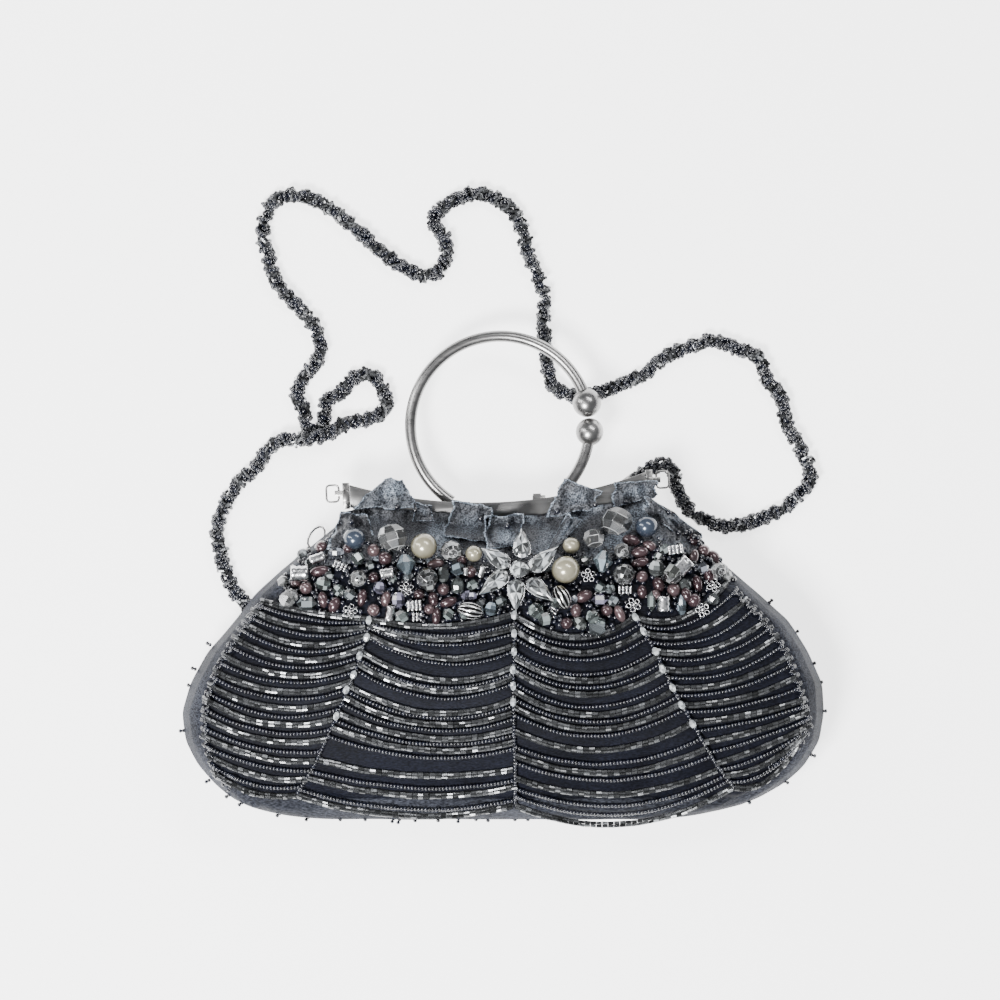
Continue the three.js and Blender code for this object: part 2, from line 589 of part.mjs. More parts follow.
// One half of the frame, a channel open towards the bag, with a hole in its web for the handle's spigot
function frameHalf(side, arc) {
  const near = GAP / 2;
  const far = near + FRAME_HALF_DEPTH;
  const [low, high] = side > 0 ? [near, far] : [-far, -near];
  const solid = bow(FRAME_RADIUS, FRAME_RADIUS + FRAME_TALL, low, high, FRAME_CHORD / 2);
  const middle = side * SLOT_OFFSET;
  const slotHalf = WALL / 2 + GAP;
  const slotTop = FRAME_RADIUS + FRAME_WEB;
  const slotLow = FRAME_RADIUS + FRAME_TALL + WALL;
  const slot = bow(slotTop, slotLow, middle - slotHalf, middle + slotHalf, FRAME_CHORD / 2 + 1);
  return onFrame(solid.subtract(slot)).subtract(spigotOf(arc, side, GAP));
}

// The small stepped tab on the front half's upper edge, by which the frame is opened
function catchTab() {
  const foot = new THREE.BoxGeometry(TAB.wide, TAB.tall * 2, FRAME_HALF_DEPTH - 1);
  const step = new THREE.BoxGeometry(TAB.wide * 0.6, TAB.step * 2, FRAME_HALF_DEPTH - 1);
  step.translate(-TAB.wide * 0.15, TAB.tall, 0);
  const rise = frameRise(TAB.x);
  return onFrame(
    solidOf(foot)
      .add(solidOf(step))
      .translate([TAB.x, rise, GAP / 2 + FRAME_HALF_DEPTH / 2]),
  );
}

// A hinge cap that closes one end of both halves, with a rivet's heads and an eye for the strap loop
function endCap(side) {
  const depth = FRAME_HALF_DEPTH * 2 + GAP;
  const x = side * (FRAME_CHORD / 2 + GAP + CAP.wide / 2);
  const y = frameRise(FRAME_CHORD / 2) - FRAME_TALL / 2;
  const plate = solidOf(new THREE.BoxGeometry(CAP.wide, CAP.tall, depth));
  const rivet = new THREE.CylinderGeometry(CAP.rivet / 2, CAP.rivet / 2, depth + CAP.head * 2, 12);
  rivet.rotateX(Math.PI / 2);
  const rivetBody = solidOf(rivet).intersect(solidOf(new THREE.BoxGeometry(CAP.wide, CAP.tall, depth * 2)));
  const eyeBody = solidOf(new THREE.BoxGeometry(EYE.reach + CAP.wide / 2, EYE.tall, EYE.depth));
  const eyeHole = solidOf(new THREE.CylinderGeometry(EYE.hole / 2, EYE.hole / 2, EYE.tall * 2, 10));
  const eyeX = side * (CAP.wide / 2 + EYE.reach / 2 - CAP.wide / 4);
  const holeX = side * (CAP.wide / 2 + EYE.reach / 2);
  const eye = eyeBody.translate([eyeX, 0, 0]).subtract(eyeHole.translate([holeX, 0, 0]));
  return onFrame(
    plate
      .add(rivetBody)
      .add(eye.translate([0, LOOP.drop, 0]))
      .translate([x, y, 0]),
  );
}

// A closed wire along the corners of a rounded rectangle or an oval
function wireRing(outline, wire) {
  const sides = 6;
  const rings = outline.map((point, i) => {
    const next = outline[(i + 1) % outline.length];
    const before = outline[(i + outline.length - 1) % outline.length];
    const along = new THREE.Vector3().subVectors(next, before).normalize();
    const across = new THREE.Vector3(0, 0, 1).cross(along).normalize();
    return Array.from({ length: sides }, (_, k) => {
      const angle = ((k + 0.5) / sides) * Math.PI * 2;
      return point
        .clone()
        .addScaledVector(across, (Math.cos(angle) * wire) / 2)
        .addScaledVector(new THREE.Vector3(0, 0, 1), (Math.sin(angle) * wire) / 2);
    });
  });
  return solidOf(loft(rings, true));
}

// The outline of a rounded rectangle about the origin
function roundedRectangle(wide, tall, corner) {
  const points = [];
  [[1, 1, 0], [-1, 1, 90], [-1, -1, 180], [1, -1, 270]].forEach(([sx, sy, start]) => {
    [0, 45, 90].forEach((angle) => {
      const turn = radians(start + angle);
      points.push(
        new THREE.Vector3(
          sx * (wide / 2 - corner) + corner * Math.cos(turn),
          sy * (tall / 2 - corner) + corner * Math.sin(turn),
          0,
        ),
      );
    });
  });
  return points;
}

// The rectangular wire loop that hangs in an end cap's eye
function strapLoop(side) {
  const wire = wireRing(roundedRectangle(LOOP.wide, LOOP.tall, LOOP.corner), LOOP.wire);
  const holeX = FRAME_CHORD / 2 + GAP + CAP.wide + EYE.reach / 2;
  const x = side * (holeX + (LOOP.wide / 2));
  const y = frameRise(FRAME_CHORD / 2) - FRAME_TALL / 2 + LOOP.drop;
  return onFrame(wire.translate([x, y, 0]));
}

// Where an arc of the handle runs: a flat circle whose height goes from its half of the frame to the middle
const RING_CENTRE = new THREE.Vector2(FRAME_X + RING_X, FRAME_TOP + RING_RISE);
function arcPoint(arc, side, angle) {
  const share = THREE.MathUtils.clamp((angle - arc.start) / (arc.end - arc.start), 0, 1);
  const footZ = FRAME_MIDDLE_Z + side * (GAP / 2 + FRAME_HALF_DEPTH / 2);
  return new THREE.Vector3(
    RING_CENTRE.x + RING_RADIUS * Math.cos(radians(angle)),
    RING_CENTRE.y + RING_RADIUS * Math.sin(radians(angle)),
    lerp(FRAME_MIDDLE_Z, footZ, share),
  );
}

class HandleArc extends THREE.Curve {
  constructor(arc, side) {
    super();
    this.arc = arc;
    this.side = side;
  }

  getPoint(t, target = new THREE.Vector3()) {
    return target.copy(arcPoint(this.arc, this.side, lerp(this.arc.start, this.arc.end, t)));
  }
}

// The pin under an arc's foot, which stands in the frame's web, or its hole with a clearance
function spigotOf(arc, side, clearance = 0) {
  const foot = arcPoint(arc, side, arc.end);
  const turn = Math.sign(arc.end - arc.start);
  const before = arcPoint(arc, side, arc.end - turn);
  const along = foot.clone().sub(before).setZ(0).normalize();
  const length = (SPIGOT.long + clearance) * 2;
  const radius = SPIGOT.wide / 2 + clearance;
  const pin = new THREE.CylinderGeometry(radius, radius, length, 10);
  pin.applyQuaternion(new THREE.Quaternion().setFromUnitVectors(new THREE.Vector3(0, 1, 0), along));
  return solidOf(pin).translate(footOn(arc, side).toArray());
}

// Where an arc's centre line meets the frame's upper edge
function footOn(arc, side) {
  const turn = Math.sign(arc.end - arc.start);
  let angle = arc.start;
  const upper = (p) => {
    const x = (p.x - FRAME_X) / Math.cos(radians(FRAME_TILT));
    return FRAME_TOP + frameRise(x) + (p.x - FRAME_X) * Math.tan(radians(FRAME_TILT));
  };
  for (let a = arc.end - turn * 30; turn * (arc.end + turn * 15 - a) > 0; a += turn * 0.1) {
    angle = a;
    const p = arcPoint(arc, side, a);
    if (Math.abs(p.x - FRAME_X) < FRAME_CHORD / 2 && p.y < upper(p)) break;
  }
  return arcPoint(arc, side, angle);
}

// One arc of the ring handle with the ball on its upper end and the spigot on its foot
function handleArc(arc, side) {
  const section = new THREE.Shape();
  section.absarc(0, 0, RING_TUBE / 2, 0, Math.PI * 2);
  const steps = Math.max(6, Math.round(Math.abs(arc.end - arc.start) / 9));
  const reach = { ...arc, end: arc.end + Math.sign(arc.end - arc.start) * 8 };
  const tube = new THREE.ExtrudeGeometry(section, {
    steps: steps,
    extrudePath: new HandleArc(reach, side),
    curveSegments: 5,
    bevelEnabled: false,
  });
  const block = onFrame(
    bow(FRAME_RADIUS - GAP, FRAME_RADIUS * 1.3, -BODY_DEPTH, BODY_DEPTH, FRAME_CHORD / 2),
  );
  const ball = solidOf(new THREE.SphereGeometry(arc.ball / 2, 12, 8)).translate(
    arcPoint(arc, side, arc.start).toArray(),
  );
  return solidOf(tube).subtract(block).add(ball).add(spigotOf(arc, side));
}

function makeFrame() {
  return [
    piece("frame_front", geometryOf(frameHalf(1, SHORT_ARC).add(catchTab())), "gunmetal"),
    piece("frame_back", geometryOf(frameHalf(-1, LONG_ARC)), "gunmetal"),
    piece("hinge_cap_left", geometryOf(endCap(-1)), "gunmetal"),
    piece("hinge_cap_right", geometryOf(endCap(1)), "gunmetal"),
    piece("strap_loop_left", geometryOf(strapLoop(-1)), "gunmetal"),
    piece("strap_loop_right", geometryOf(strapLoop(1)), "gunmetal"),
    piece("handle_long_arc", geometryOf(handleArc(LONG_ARC, -1)), "gunmetal"),
    piece("handle_short_arc", geometryOf(handleArc(SHORT_ARC, 1)), "gunmetal"),
  ];
}

// The place of a swag line at a share of its length, smooth through its top, middle and bottom
function swagLine(line, share) {
  const curve = new THREE.QuadraticBezierCurve(
    new THREE.Vector2(line.topX, line.topDown),
    new THREE.Vector2(
      line.midX * 2 - (line.topX + line.lowX) / 2,
      line.midDown * 2 - (line.topDown + line.lowDown) / 2,
    ),
    new THREE.Vector2(line.lowX, line.lowDown),
  );
  const at = curve.getPoint(share);
  return new THREE.Vector2(at.x * BODY_HALF_WIDTH, MOUTH_Y - at.y * BODY_HEIGHT);
}

// One column of hanging strands as a ribbed slab that follows the front panel
function swagColumn(index) {
  const leftLine = SWAG_LINES[index];
  const rightLine = SWAG_LINES[index + 1];
  const margin = SEAM_CRYSTAL * 0.7 + GAP * 2;
  const rows = SWAG_RIBS * 2;
  const grid = [];
  for (let r = 0; r <= rows; r += 1) {
    const left = swagLine(leftLine, r / rows);
    const right = swagLine(rightLine, r / rows);
    const wide = right.x - left.x;
    const row = [];
    for (let c = 0; c <= SWAG_ACROSS; c += 1) {
      const share = lerp(margin / wide, 1 - margin / wide, c / SWAG_ACROSS);
      const sag = SWAG_SAG[index] * BODY_HEIGHT * 4 * share * (1 - share);
      row.push(new THREE.Vector2(lerp(left.x, right.x, share), lerp(left.y, right.y, share) - sag));
    }
    grid.push(row);
  }
  return drape(grid, (r) => (r % 2 ? SWAG_CORD : SWAG_CORD * 0.45));
}

// A faceted stone: a girdle of eight facets between two bevels and two flat tables
function cutStone(wide, tall, turn = 0, facets = 8) {
  const level = (z, reach) =>
    Array.from({ length: facets }, (_, k) => {
      const angle = ((k + (z > 0 ? 0.5 : 0)) / facets) * Math.PI * 2 + radians(turn);
      const radius = (reach * wide) / 2;
      return new THREE.Vector3(Math.cos(angle) * radius, Math.sin(angle) * radius, z * tall);
    });
  return solidOf(loft([level(-0.5, 0.5), level(-0.12, 1), level(0.14, 1), level(0.5, 0.5)]));
}

// A row of small cut stones along one seam, drawn in between two stones to the thread that holds them
function seamStones(line) {
  const waists = [
    { along: 0, reach: 0.45 },
    { along: 0.3, reach: 1 },
    { along: 0.7, reach: 1 },
  ];
  const rings = [];
  for (let i = 0; i <= SEAM_STONES * waists.length; i += 1) {
    const { along, reach } = waists[i % waists.length];
    const share = ((Math.floor(i / waists.length) + along) / SEAM_STONES) * SEAM_REACH;
    const at = swagLine(line, share);
    const middle = frontHeight(at.x, at.y) + (GAP * 2 + SEAM_CRYSTAL / 2) * steepness(at.x, at.y);
    rings.push(
      Array.from({ length: 8 }, (_, k) => {
        const angle = (k / 8) * Math.PI * 2;
        const radius = (SEAM_CRYSTAL / 2) * reach;
        return new THREE.Vector3(at.x + Math.cos(angle) * radius, at.y, middle + Math.sin(angle) * radius);
      }),
    );
  }
  return solidOf(loft(rings));
}

function makeSwags() {
  const pieces = [];
  for (let i = 0; i < SWAG_LINES.length - 1; i += 1) {
    pieces.push(piece("swag_column_" + (i + 1), geometryOf(swagColumn(i)), "seeds"));
  }
  SWAG_LINES.slice(1, -1).forEach((line) => {
    pieces.push(piece(line.name + "_crystals", geometryOf(seamStones(line)), "crystal"));
  });
  return pieces;
}

// The stitched ground between two shares of the body's half width
function groundSlab(fromShare, toShare) {
  const edge = (across, key) => {
    const after = Math.max(1, GROUND_EDGE.findIndex((row) => row.across >= across));
    const a = GROUND_EDGE[after - 1];
    const b = GROUND_EDGE[after];
    return lerp(a[key], b[key], (across - a.across) / (b.across - a.across));
  };
  const grid = [];
  for (let i = 0; i <= GROUND_ACROSS; i += 1) {
    const across = lerp(fromShare, toShare, i / GROUND_ACROSS);
    const x = across * BODY_HALF_WIDTH;
    const top = edge(across, "upper");
    const low = edge(across, "lower");
    const rise = edgeY(outerSections[2], x) - outerSections[2].y;
    const column = [];
    for (let k = 0; k <= GROUND_DOWN; k += 1) {
      const y = MOUTH_Y + rise * (1 - k / GROUND_DOWN) - lerp(top, low, k / GROUND_DOWN) * BODY_HEIGHT;
      column.push(new THREE.Vector2(x, y));
    }
    grid.push(column.reverse());
  }
  return drape(grid, () => GROUND);
}

// One side's field: the stitched ground with its small beads
function beadField(beads, fromShare, toShare) {
  return beads.map(placed).reduce((sum, bead) => {
    const ball = solidOf(new THREE.SphereGeometry(bead.wide / 2, 10, 4).rotateX(Math.PI / 2));
    const z = frontHeight(bead.x, bead.y) + (GROUND + bead.wide * 0.33) * steepness(bead.x, bead.y);
    return sum.add(ball.translate([bead.x, bead.y, z]));
  }, groundSlab(fromShare, toShare));
}

// The crystal flower: each drop is a cut stone drawn out to a point, all soldered to one round plate
function crystalFlower() {
  const plate = new THREE.CylinderGeometry(FLOWER.reach * 0.52, FLOWER.reach * 0.52, 1.4, 12);
  plate.rotateX(Math.PI / 2);
  let flower = solidOf(plate).translate([0, 0, -FLOWER.stone * 0.25]);
  flower = flower.add(cutStone(FLOWER.stone, FLOWER.stone * 0.75, 0));
  FLOWER_TURNS.forEach((turn) => {
    const drop = dropStone(FLOWER.reach * 0.66, FLOWER.drop, FLOWER.stone * 0.55);
    flower = flower.add(drop.translate([FLOWER.reach * 0.34, 0, 0]).rotate([0, 0, turn]));
  });
  const { x, y } = placed(FLOWER);
  return turned(flower, leanOf(x, y));
}

// A pear-shaped cut stone from its round end at the origin to its point along +X
function dropStone(long, wide, tall) {
  const outline = [
    [0, 0.26], [0.12, 0.46], [0.32, 0.5], [1, 0.03], [1, -0.03], [0.32, -0.5], [0.12, -0.46], [0, -0.26],
  ];
  const waist = 0.35; // the share of the length about which a level shrinks
  const level = (z, reach) =>
    outline
      .map(([u, v]) => new THREE.Vector3((waist + (u - waist) * reach) * long, v * reach * wide, z * tall))
      .reverse();
  return solidOf(loft([level(-0.4, 0.6), level(0, 1), level(0.5, 0.55)]));
}

// A fluted oval bead with its long axis along X
function flutedOval(long, wide) {
  const sections = [-0.5, -0.38, 0, 0.38, 0.5].map((share) => {
    const reach = Math.sqrt(Math.max(0.04, 1 - (share * 2) ** 2));
    return Array.from({ length: 14 }, (_, k) => {
      const flute = k % 2 ? 0.88 : 1;
      const angle = (k / 14) * Math.PI * 2;
      const radius = (wide / 2) * reach * flute;
      return new THREE.Vector3(share * long, Math.cos(angle) * radius, Math.sin(angle) * radius);
    });
  });
  return solidOf(loft(sections));
}

// A stack of round bars soldered side by side
function barStack(long, wide) {
  const bars = [-1, 0, 1].map((i) => {
    const bar = new THREE.CylinderGeometry(wide / 5, wide / 5, long, 8);
    bar.rotateZ(Math.PI / 2);
    bar.translate(0, (i * wide) / 3, 0);
    return solidOf(bar);
  });
  return bars.reduce((sum, bar) => sum.add(bar));
}

// All large stones, each seated on what lies under it
const DROP_HEIGHT = 16; // above the front, clear of all that lies on it
function makeStones(carriers) {
  const pieces = [];
  let heap = heapOf(carriers);
  const seat = (name, solid, row, finish, colour) => {
    const seated = settle(solid, heap, row.x, row.y, frontHeight(row.x, row.y) + DROP_HEIGHT);
    heap = heap.add(seated);
    pieces.push(piece(name, geometryOf(seated), finish, colour));
  };
  PEARLS.map(placed).forEach((row) => {
    const ball = new THREE.SphereGeometry(row.wide / 2, 10, 6).rotateX(Math.PI / 2);
    seat(row.name, solidOf(ball), row, "beads", row.colour);
  });
  CRYSTALS.map(placed).forEach((row) => {
    const stone = turned(cutStone(row.wide, row.tall, row.turn), leanOf(row.x, row.y));
    seat(row.name, stone, row, "crystal");
  });
  seat("crystal_flower", crystalFlower(), placed(FLOWER), "crystal");
  OVALS.map(placed).forEach((row) => {
    const oval = flutedOval(row.long, row.wide).rotate([0, 0, row.turn]);
    seat(row.name, turned(oval, leanOf(row.x, row.y)), row, "silver");
  });
  BARS.map(placed).forEach((row) => {
    const bars = barStack(row.long, row.wide).rotate([0, 0, row.turn]);
    seat(row.name, turned(bars, leanOf(row.x, row.y)), row, "silver");
  });
  return pieces;
}

// The lowest height that a petal may have over a point: clear of the frame's face and of the front panel
function petalFloor(x, y) {
  const face = FRAME_MIDDLE_Z + GAP / 2 + FRAME_HALF_DEPTH;
  return Math.max(face, frontHeight(x, Math.min(y, MOUTH_Y)) + GROUND + GAP * 2) + GAP;
}

// A piece of crushed ribbon as a pleated sheet whose edges narrow towards its ends
function ribbonPetal(row) {
  const turn = radians(row.turn);
  const lower = [];
  const upper = [];
  for (let i = 0; i <= PETAL.across; i += 1) {
    const u = (i / PETAL.across) * 2 - 1;
    const lowRow = [];
    const highRow = [];
    for (let k = 0; k <= PETAL.along; k += 1) {
      const v = (k / PETAL.along) * 2 - 1;
      const reach = 1 - 0.3 * u ** 2;
      const localX = (u * row.wide) / 2;
      const localY = (v * row.tall * reach) / 2;
      const x = row.x + localX * Math.cos(turn) - localY * Math.sin(turn);
      const y = row.y + localX * Math.sin(turn) + localY * Math.cos(turn);
      const fold = PETAL.fold * (1 + Math.sin(u * row.folds * Math.PI + v * 1.4));
      const z = petalFloor(x, y) + (row.layer - 1) * PETAL.layer + fold;
      lowRow.push(new THREE.Vector3(x, y, z));
      highRow.push(new THREE.Vector3(x, y, z + PETAL.thick));
    }
    lower.push(lowRow);
    upper.push(highRow);
  }
  return solidOf(slab(lower, upper));
}

// The petals from the lowest layer up, each seated on the frame, the body or the petals under it
function makePetals(carriers) {
  let heap = heapOf(carriers);
  const layers = PETALS.map(placed).sort((a, b) => a.layer - b.layer);
  return layers.map((row) => {
    const seated = settle(ribbonPetal(row), heap, 0, 0, DROP_HEIGHT);
    heap = heap.add(seated);
    return piece("petal_" + row.name, geometryOf(seated), "ribbon");
  });
}

// The strap's centre line, lying on the surface with one of its flats down
const STRAP_REST = (STRAP_WIDTH / 2) * Math.cos(Math.PI / STRAP_SIDES);
const strapCurve = new THREE.CatmullRomCurve3(
  STRAP_ROUTE.map(([x, y, hump]) => new THREE.Vector3(x, y, STRAP_REST + hump)),
  false,
  "centripetal",
);

// The strap's tube: one ring of points for each step, upright to the surface so that it never twists
function strapTube() {
  const rings = [];
  for (let i = 0; i <= STRAP_STEPS; i += 1) {
    const at = strapCurve.getPointAt(i / STRAP_STEPS);
    const along = strapCurve.getTangentAt(i / STRAP_STEPS);
    const across = new THREE.Vector3(along.y, -along.x, 0).normalize();
    const up = new THREE.Vector3().crossVectors(across, along).normalize();
    rings.push(
      Array.from({ length: STRAP_SIDES }, (_, k) => {
        const angle = ((k + 0.5) / STRAP_SIDES) * Math.PI * 2;
        return at
          .clone()
          .addScaledVector(across, (Math.sin(angle) * STRAP_WIDTH) / 2)
          .addScaledVector(up, (Math.cos(angle) * STRAP_WIDTH) / 2);
      }),
    );
  }
  return solidOf(loft(rings));
}

// The metal end of the strap: a ferrule cup, a lug and an oval wire hook, soldered to one another
function strapHook(start) {
  const at = strapCurve.getPointAt(start ? 0 : 1);
  const along = strapCurve.getTangentAt(start ? 0 : 1).multiplyScalar(start ? -1 : 1);
  const cup = new THREE.CylinderGeometry(FERRULE.wide * 0.36, FERRULE.wide / 2, FERRULE.long, 10);
  const lug = new THREE.CylinderGeometry(HOOK.wire, HOOK.wire, 3, 8);
  cup.translate(0, FERRULE.long / 2 + GAP, 0);
  lug.translate(0, FERRULE.long + GAP + 1, 0);
  const oval = Array.from({ length: 12 }, (_, k) => {
    const angle = (k / 12) * Math.PI * 2;
    return new THREE.Vector3(
      (Math.cos(angle) * HOOK.wide) / 2,
      (Math.sin(angle) * HOOK.long) / 2 + FERRULE.long + GAP + 2 + HOOK.long / 2,
      0,
    );
  });
  const hook = solidOf(cup).add(solidOf(lug)).add(wireRing(oval, HOOK.wire));
  const turn = THREE.MathUtils.radToDeg(Math.atan2(along.y, along.x)) - 90;
  return hook.rotate([0, 0, turn]).translate(at.toArray());
}

function makeStrap() {
  return [
    piece("strap", geometryOf(strapTube()), "rope"),
    ...HOOK_ENDS.map((row) => piece(row.name, geometryOf(strapHook(row.atStart)), "gunmetal")),
  ];
}

function makeFields() {
  const middle = FLOWER.across;
  const seam = GAP / 2 / BODY_HALF_WIDTH;
  const first = GROUND_EDGE[0].across;
  const last = GROUND_EDGE[GROUND_EDGE.length - 1].across;
  return [
    piece("bead_field_left", geometryOf(beadField(SMALL_BEADS.left, first, middle - seam)), "beads"),
    piece("bead_field_right", geometryOf(beadField(SMALL_BEADS.right, middle + seam, last)), "beads"),
  ];
}

const base = [...makeBody(), ...makeFrame(), ...makeSwags(), ...makeFields()];
const petals = makePetals(base);
const clutch = new THREE.Group();
clutch.add(...base);
clutch.add(...petals);
clutch.add(...makeStones([...base, ...petals]));
clutch.add(...makeStrap());

export default clutch;
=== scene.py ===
# %% [markdown]
# This lesson dresses a beaded evening clutch. The bag lies on its back: a padded satin body, a bowed metal
# kiss frame, a split ring handle, crushed ribbon petals, a crowd of stones and pearls, hanging bead strands
# and a loose shoulder strap of twisted strands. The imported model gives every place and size, in metres.

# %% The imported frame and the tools
import json
import math
import random

import bmesh
import bpy
from mathutils import Euler, Matrix, Vector, noise
from mathutils.bvhtree import BVHTree

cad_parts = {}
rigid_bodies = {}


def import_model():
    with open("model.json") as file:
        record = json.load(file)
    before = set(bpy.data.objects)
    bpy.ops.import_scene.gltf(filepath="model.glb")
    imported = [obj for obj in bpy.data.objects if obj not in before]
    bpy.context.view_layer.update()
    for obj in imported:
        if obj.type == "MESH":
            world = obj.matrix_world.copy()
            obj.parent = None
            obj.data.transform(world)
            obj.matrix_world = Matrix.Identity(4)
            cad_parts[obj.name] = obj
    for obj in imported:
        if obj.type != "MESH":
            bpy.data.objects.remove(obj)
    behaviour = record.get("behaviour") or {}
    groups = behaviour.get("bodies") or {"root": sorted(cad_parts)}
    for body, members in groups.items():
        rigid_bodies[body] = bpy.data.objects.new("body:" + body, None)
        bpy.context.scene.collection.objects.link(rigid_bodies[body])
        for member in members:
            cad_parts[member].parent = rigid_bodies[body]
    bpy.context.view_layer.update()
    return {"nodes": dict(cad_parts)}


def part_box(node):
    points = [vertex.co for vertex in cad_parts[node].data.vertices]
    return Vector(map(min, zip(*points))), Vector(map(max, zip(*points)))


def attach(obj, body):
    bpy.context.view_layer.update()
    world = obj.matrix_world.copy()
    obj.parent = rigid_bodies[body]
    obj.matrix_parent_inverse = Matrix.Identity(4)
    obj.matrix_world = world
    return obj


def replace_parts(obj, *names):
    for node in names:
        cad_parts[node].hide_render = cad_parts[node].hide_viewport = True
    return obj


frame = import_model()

MM = 0.001
PIXEL = 0.42 * MM  # one pixel of the photo's frame on the surface
ORIGIN_PIXEL = (503, 660)  # where the model's origin lies in the photo's frame
random.seed(7)
print("nodes in the frame:", len(frame["nodes"]))


def at_pixel(px, py):
    """A point of the photo's frame as metres across and up."""
    return (px - ORIGIN_PIXEL[0]) * PIXEL, (ORIGIN_PIXEL[1] - py) * PIXEL


# %% [markdown]
# The photo looks straight down on the bag from far away, so nothing is foreshortened. A long lens high above
# gives that view. The frame of the photo spans 420 mm.

# %% Camera
PHOTO_SPAN = 0.42
CAMERA_HEIGHT = 3.0
BAG_MID_HEIGHT = 0.02


def make_camera():
    lens = bpy.data.cameras.new("camera")
    lens.sensor_width = 36
    lens.lens = 36 * (CAMERA_HEIGHT - BAG_MID_HEIGHT) / PHOTO_SPAN
    lens.clip_end = 20
    camera = bpy.data.objects.new("camera", lens)
    x, y = at_pixel(500, 500)
    camera.location = (x, y, CAMERA_HEIGHT)
    bpy.context.collection.objects.link(camera)
    bpy.context.scene.camera = camera
    print("camera lens in mm:", round(lens.lens))


make_camera()

# %% [markdown]
# Soft studio light: a pale world, a square panel high at the front left, a wide and weaker one high at the back
# right, and a narrow strip on the left that draws a bright line along round metal and glass.

# %% Lights
PANELS = (
    {"name": "key", "place": (-0.45, -0.5, 1.2), "aim": (0, 0.03, 0), "size": (0.42, 0.42), "power": 44},
    {"name": "back", "place": (0.5, 0.9, 1.2), "aim": (0, 0.05, 0), "size": (1.0, 0.3), "power": 14},
    {"name": "strip", "place": (-0.9, 0.35, 0.7), "aim": (0, 0.05, 0), "size": (0.12, 0.9), "power": 8},
)
WORLD_COLOUR = (0.93, 0.95, 1.0)
WORLD_STRENGTH = 0.3


def area_light(name, place, aim, size, power):
    light = bpy.data.lights.new(name, "AREA")
    light.shape = "RECTANGLE"
    light.size, light.size_y = size
    light.energy = power
    lamp = bpy.data.objects.new(name, light)
    lamp.location = place
    lamp.rotation_euler = (Vector(aim) - Vector(place)).to_track_quat("-Z", "Y").to_euler()
    bpy.context.collection.objects.link(lamp)


def light_the_world():
    world = bpy.data.worlds.new("studio")
    world.use_nodes = True
    sky = world.node_tree.nodes["Background"]
    sky.inputs["Color"].default_value = (*WORLD_COLOUR, 1)
    sky.inputs["Strength"].default_value = WORLD_STRENGTH
    bpy.context.scene.world = world


for panel in PANELS:
    area_light(**panel)
light_the_world()
print("lights:", len(PANELS))

# %% [markdown]
# A material here is a Principled surface with noise for its colour and a bump for its grain. All patterns read
# Object coordinates, so they stay on the piece in every view. Numbers that are the same all over are set on
# the socket itself.

# %% Material helpers
def new_material(name, colour, roughness=0.5, metallic=0.0, **sockets):
    made = bpy.data.materials.new(name)
    made.use_nodes = True
    shader = made.node_tree.nodes["Principled BSDF"]
    shader.inputs["Base Color"].default_value = (*colour, 1)
    shader.inputs["Roughness"].default_value = roughness
    shader.inputs["Metallic"].default_value = metallic
    for key, value in sockets.items():
        shader.inputs[key.replace("_", " ")].default_value = value
    return made


def node(made, kind, **settings):
    new = made.node_tree.nodes.new(kind)
    for key, value in settings.items():
        setattr(new, key, value)
    return new


def link(made, source, target):
    made.node_tree.links.new(source, target)


def shader_of(made):
    return made.node_tree.nodes["Principled BSDF"]


def object_coordinates(made, scale=(1, 1, 1)):
    coordinates = node(made, "ShaderNodeTexCoord")
    mapping = node(made, "ShaderNodeMapping")
    mapping.inputs["Scale"].default_value = scale
    link(made, coordinates.outputs["Object"], mapping.inputs["Vector"])
    return mapping.outputs["Vector"]


def noise_at(made, scale, detail=3, stretch=(1, 1, 1)):
    texture = node(made, "ShaderNodeTexNoise")
    texture.inputs["Scale"].default_value = scale
    texture.inputs["Detail"].default_value = detail
    link(made, object_coordinates(made, stretch), texture.inputs["Vector"])
    return texture.outputs["Fac"]


def ramp(made, factor, *stops):
    """Colours at places from 0 to 1 along a factor."""
    colours = node(made, "ShaderNodeValToRGB")
    while len(colours.color_ramp.elements) < len(stops):
        colours.color_ramp.elements.new(0.5)
    for element, (place, colour) in zip(colours.color_ramp.elements, stops):
        element.position = place
        element.color = (*colour, 1)
    link(made, factor, colours.inputs["Fac"])
    return colours.outputs["Color"]


def grey(value):
    return (value, value, value)


def colour_by(made, colours):
    link(made, colours, shader_of(made).inputs["Base Color"])


def bump_by(made, height, strength, depth):
    bump = node(made, "ShaderNodeBump")
    bump.inputs["Strength"].default_value = strength
    bump.inputs["Distance"].default_value = depth
    link(made, height, bump.inputs["Height"])
    link(made, bump.outputs["Normal"], shader_of(made).inputs["Normal"])


def attribute(made, name):
    reader = node(made, "ShaderNodeAttribute", attribute_name=name)
    return reader.outputs["Fac"]


# %% [markdown]
# The metal is warm grey gunmetal that was brushed and then lacquered. Fine scratches run across it, so the
# roughness and the bump come from a noise that is drawn out along one way.

# %% Metals
def gunmetal():
    made = new_material("gunmetal", (0.2, 0.195, 0.19), 0.3, 1.0)
    tone = noise_at(made, 60, 4)
    colour_by(made, ramp(made, tone, (0.3, (0.2, 0.197, 0.195)), (0.7, (0.33, 0.325, 0.32))))
    brush = noise_at(made, 700, 2, (0.1, 1, 1))
    rough = ramp(made, brush, (0.3, grey(0.26)), (0.75, grey(0.34)))
    link(made, rough, shader_of(made).inputs["Roughness"])
    bump_by(made, brush, 0.05, 0.00002)
    return made


def antique_silver():
    made = new_material("antique_silver", (0.6, 0.6, 0.6), 0.25, 1.0)
    tone = noise_at(made, 700, 5)
    colour_by(made, ramp(made, tone, (0.36, (0.3, 0.3, 0.31)), (0.56, (0.8, 0.8, 0.81))))
    bump_by(made, tone, 0.2, 0.0001)
    return made


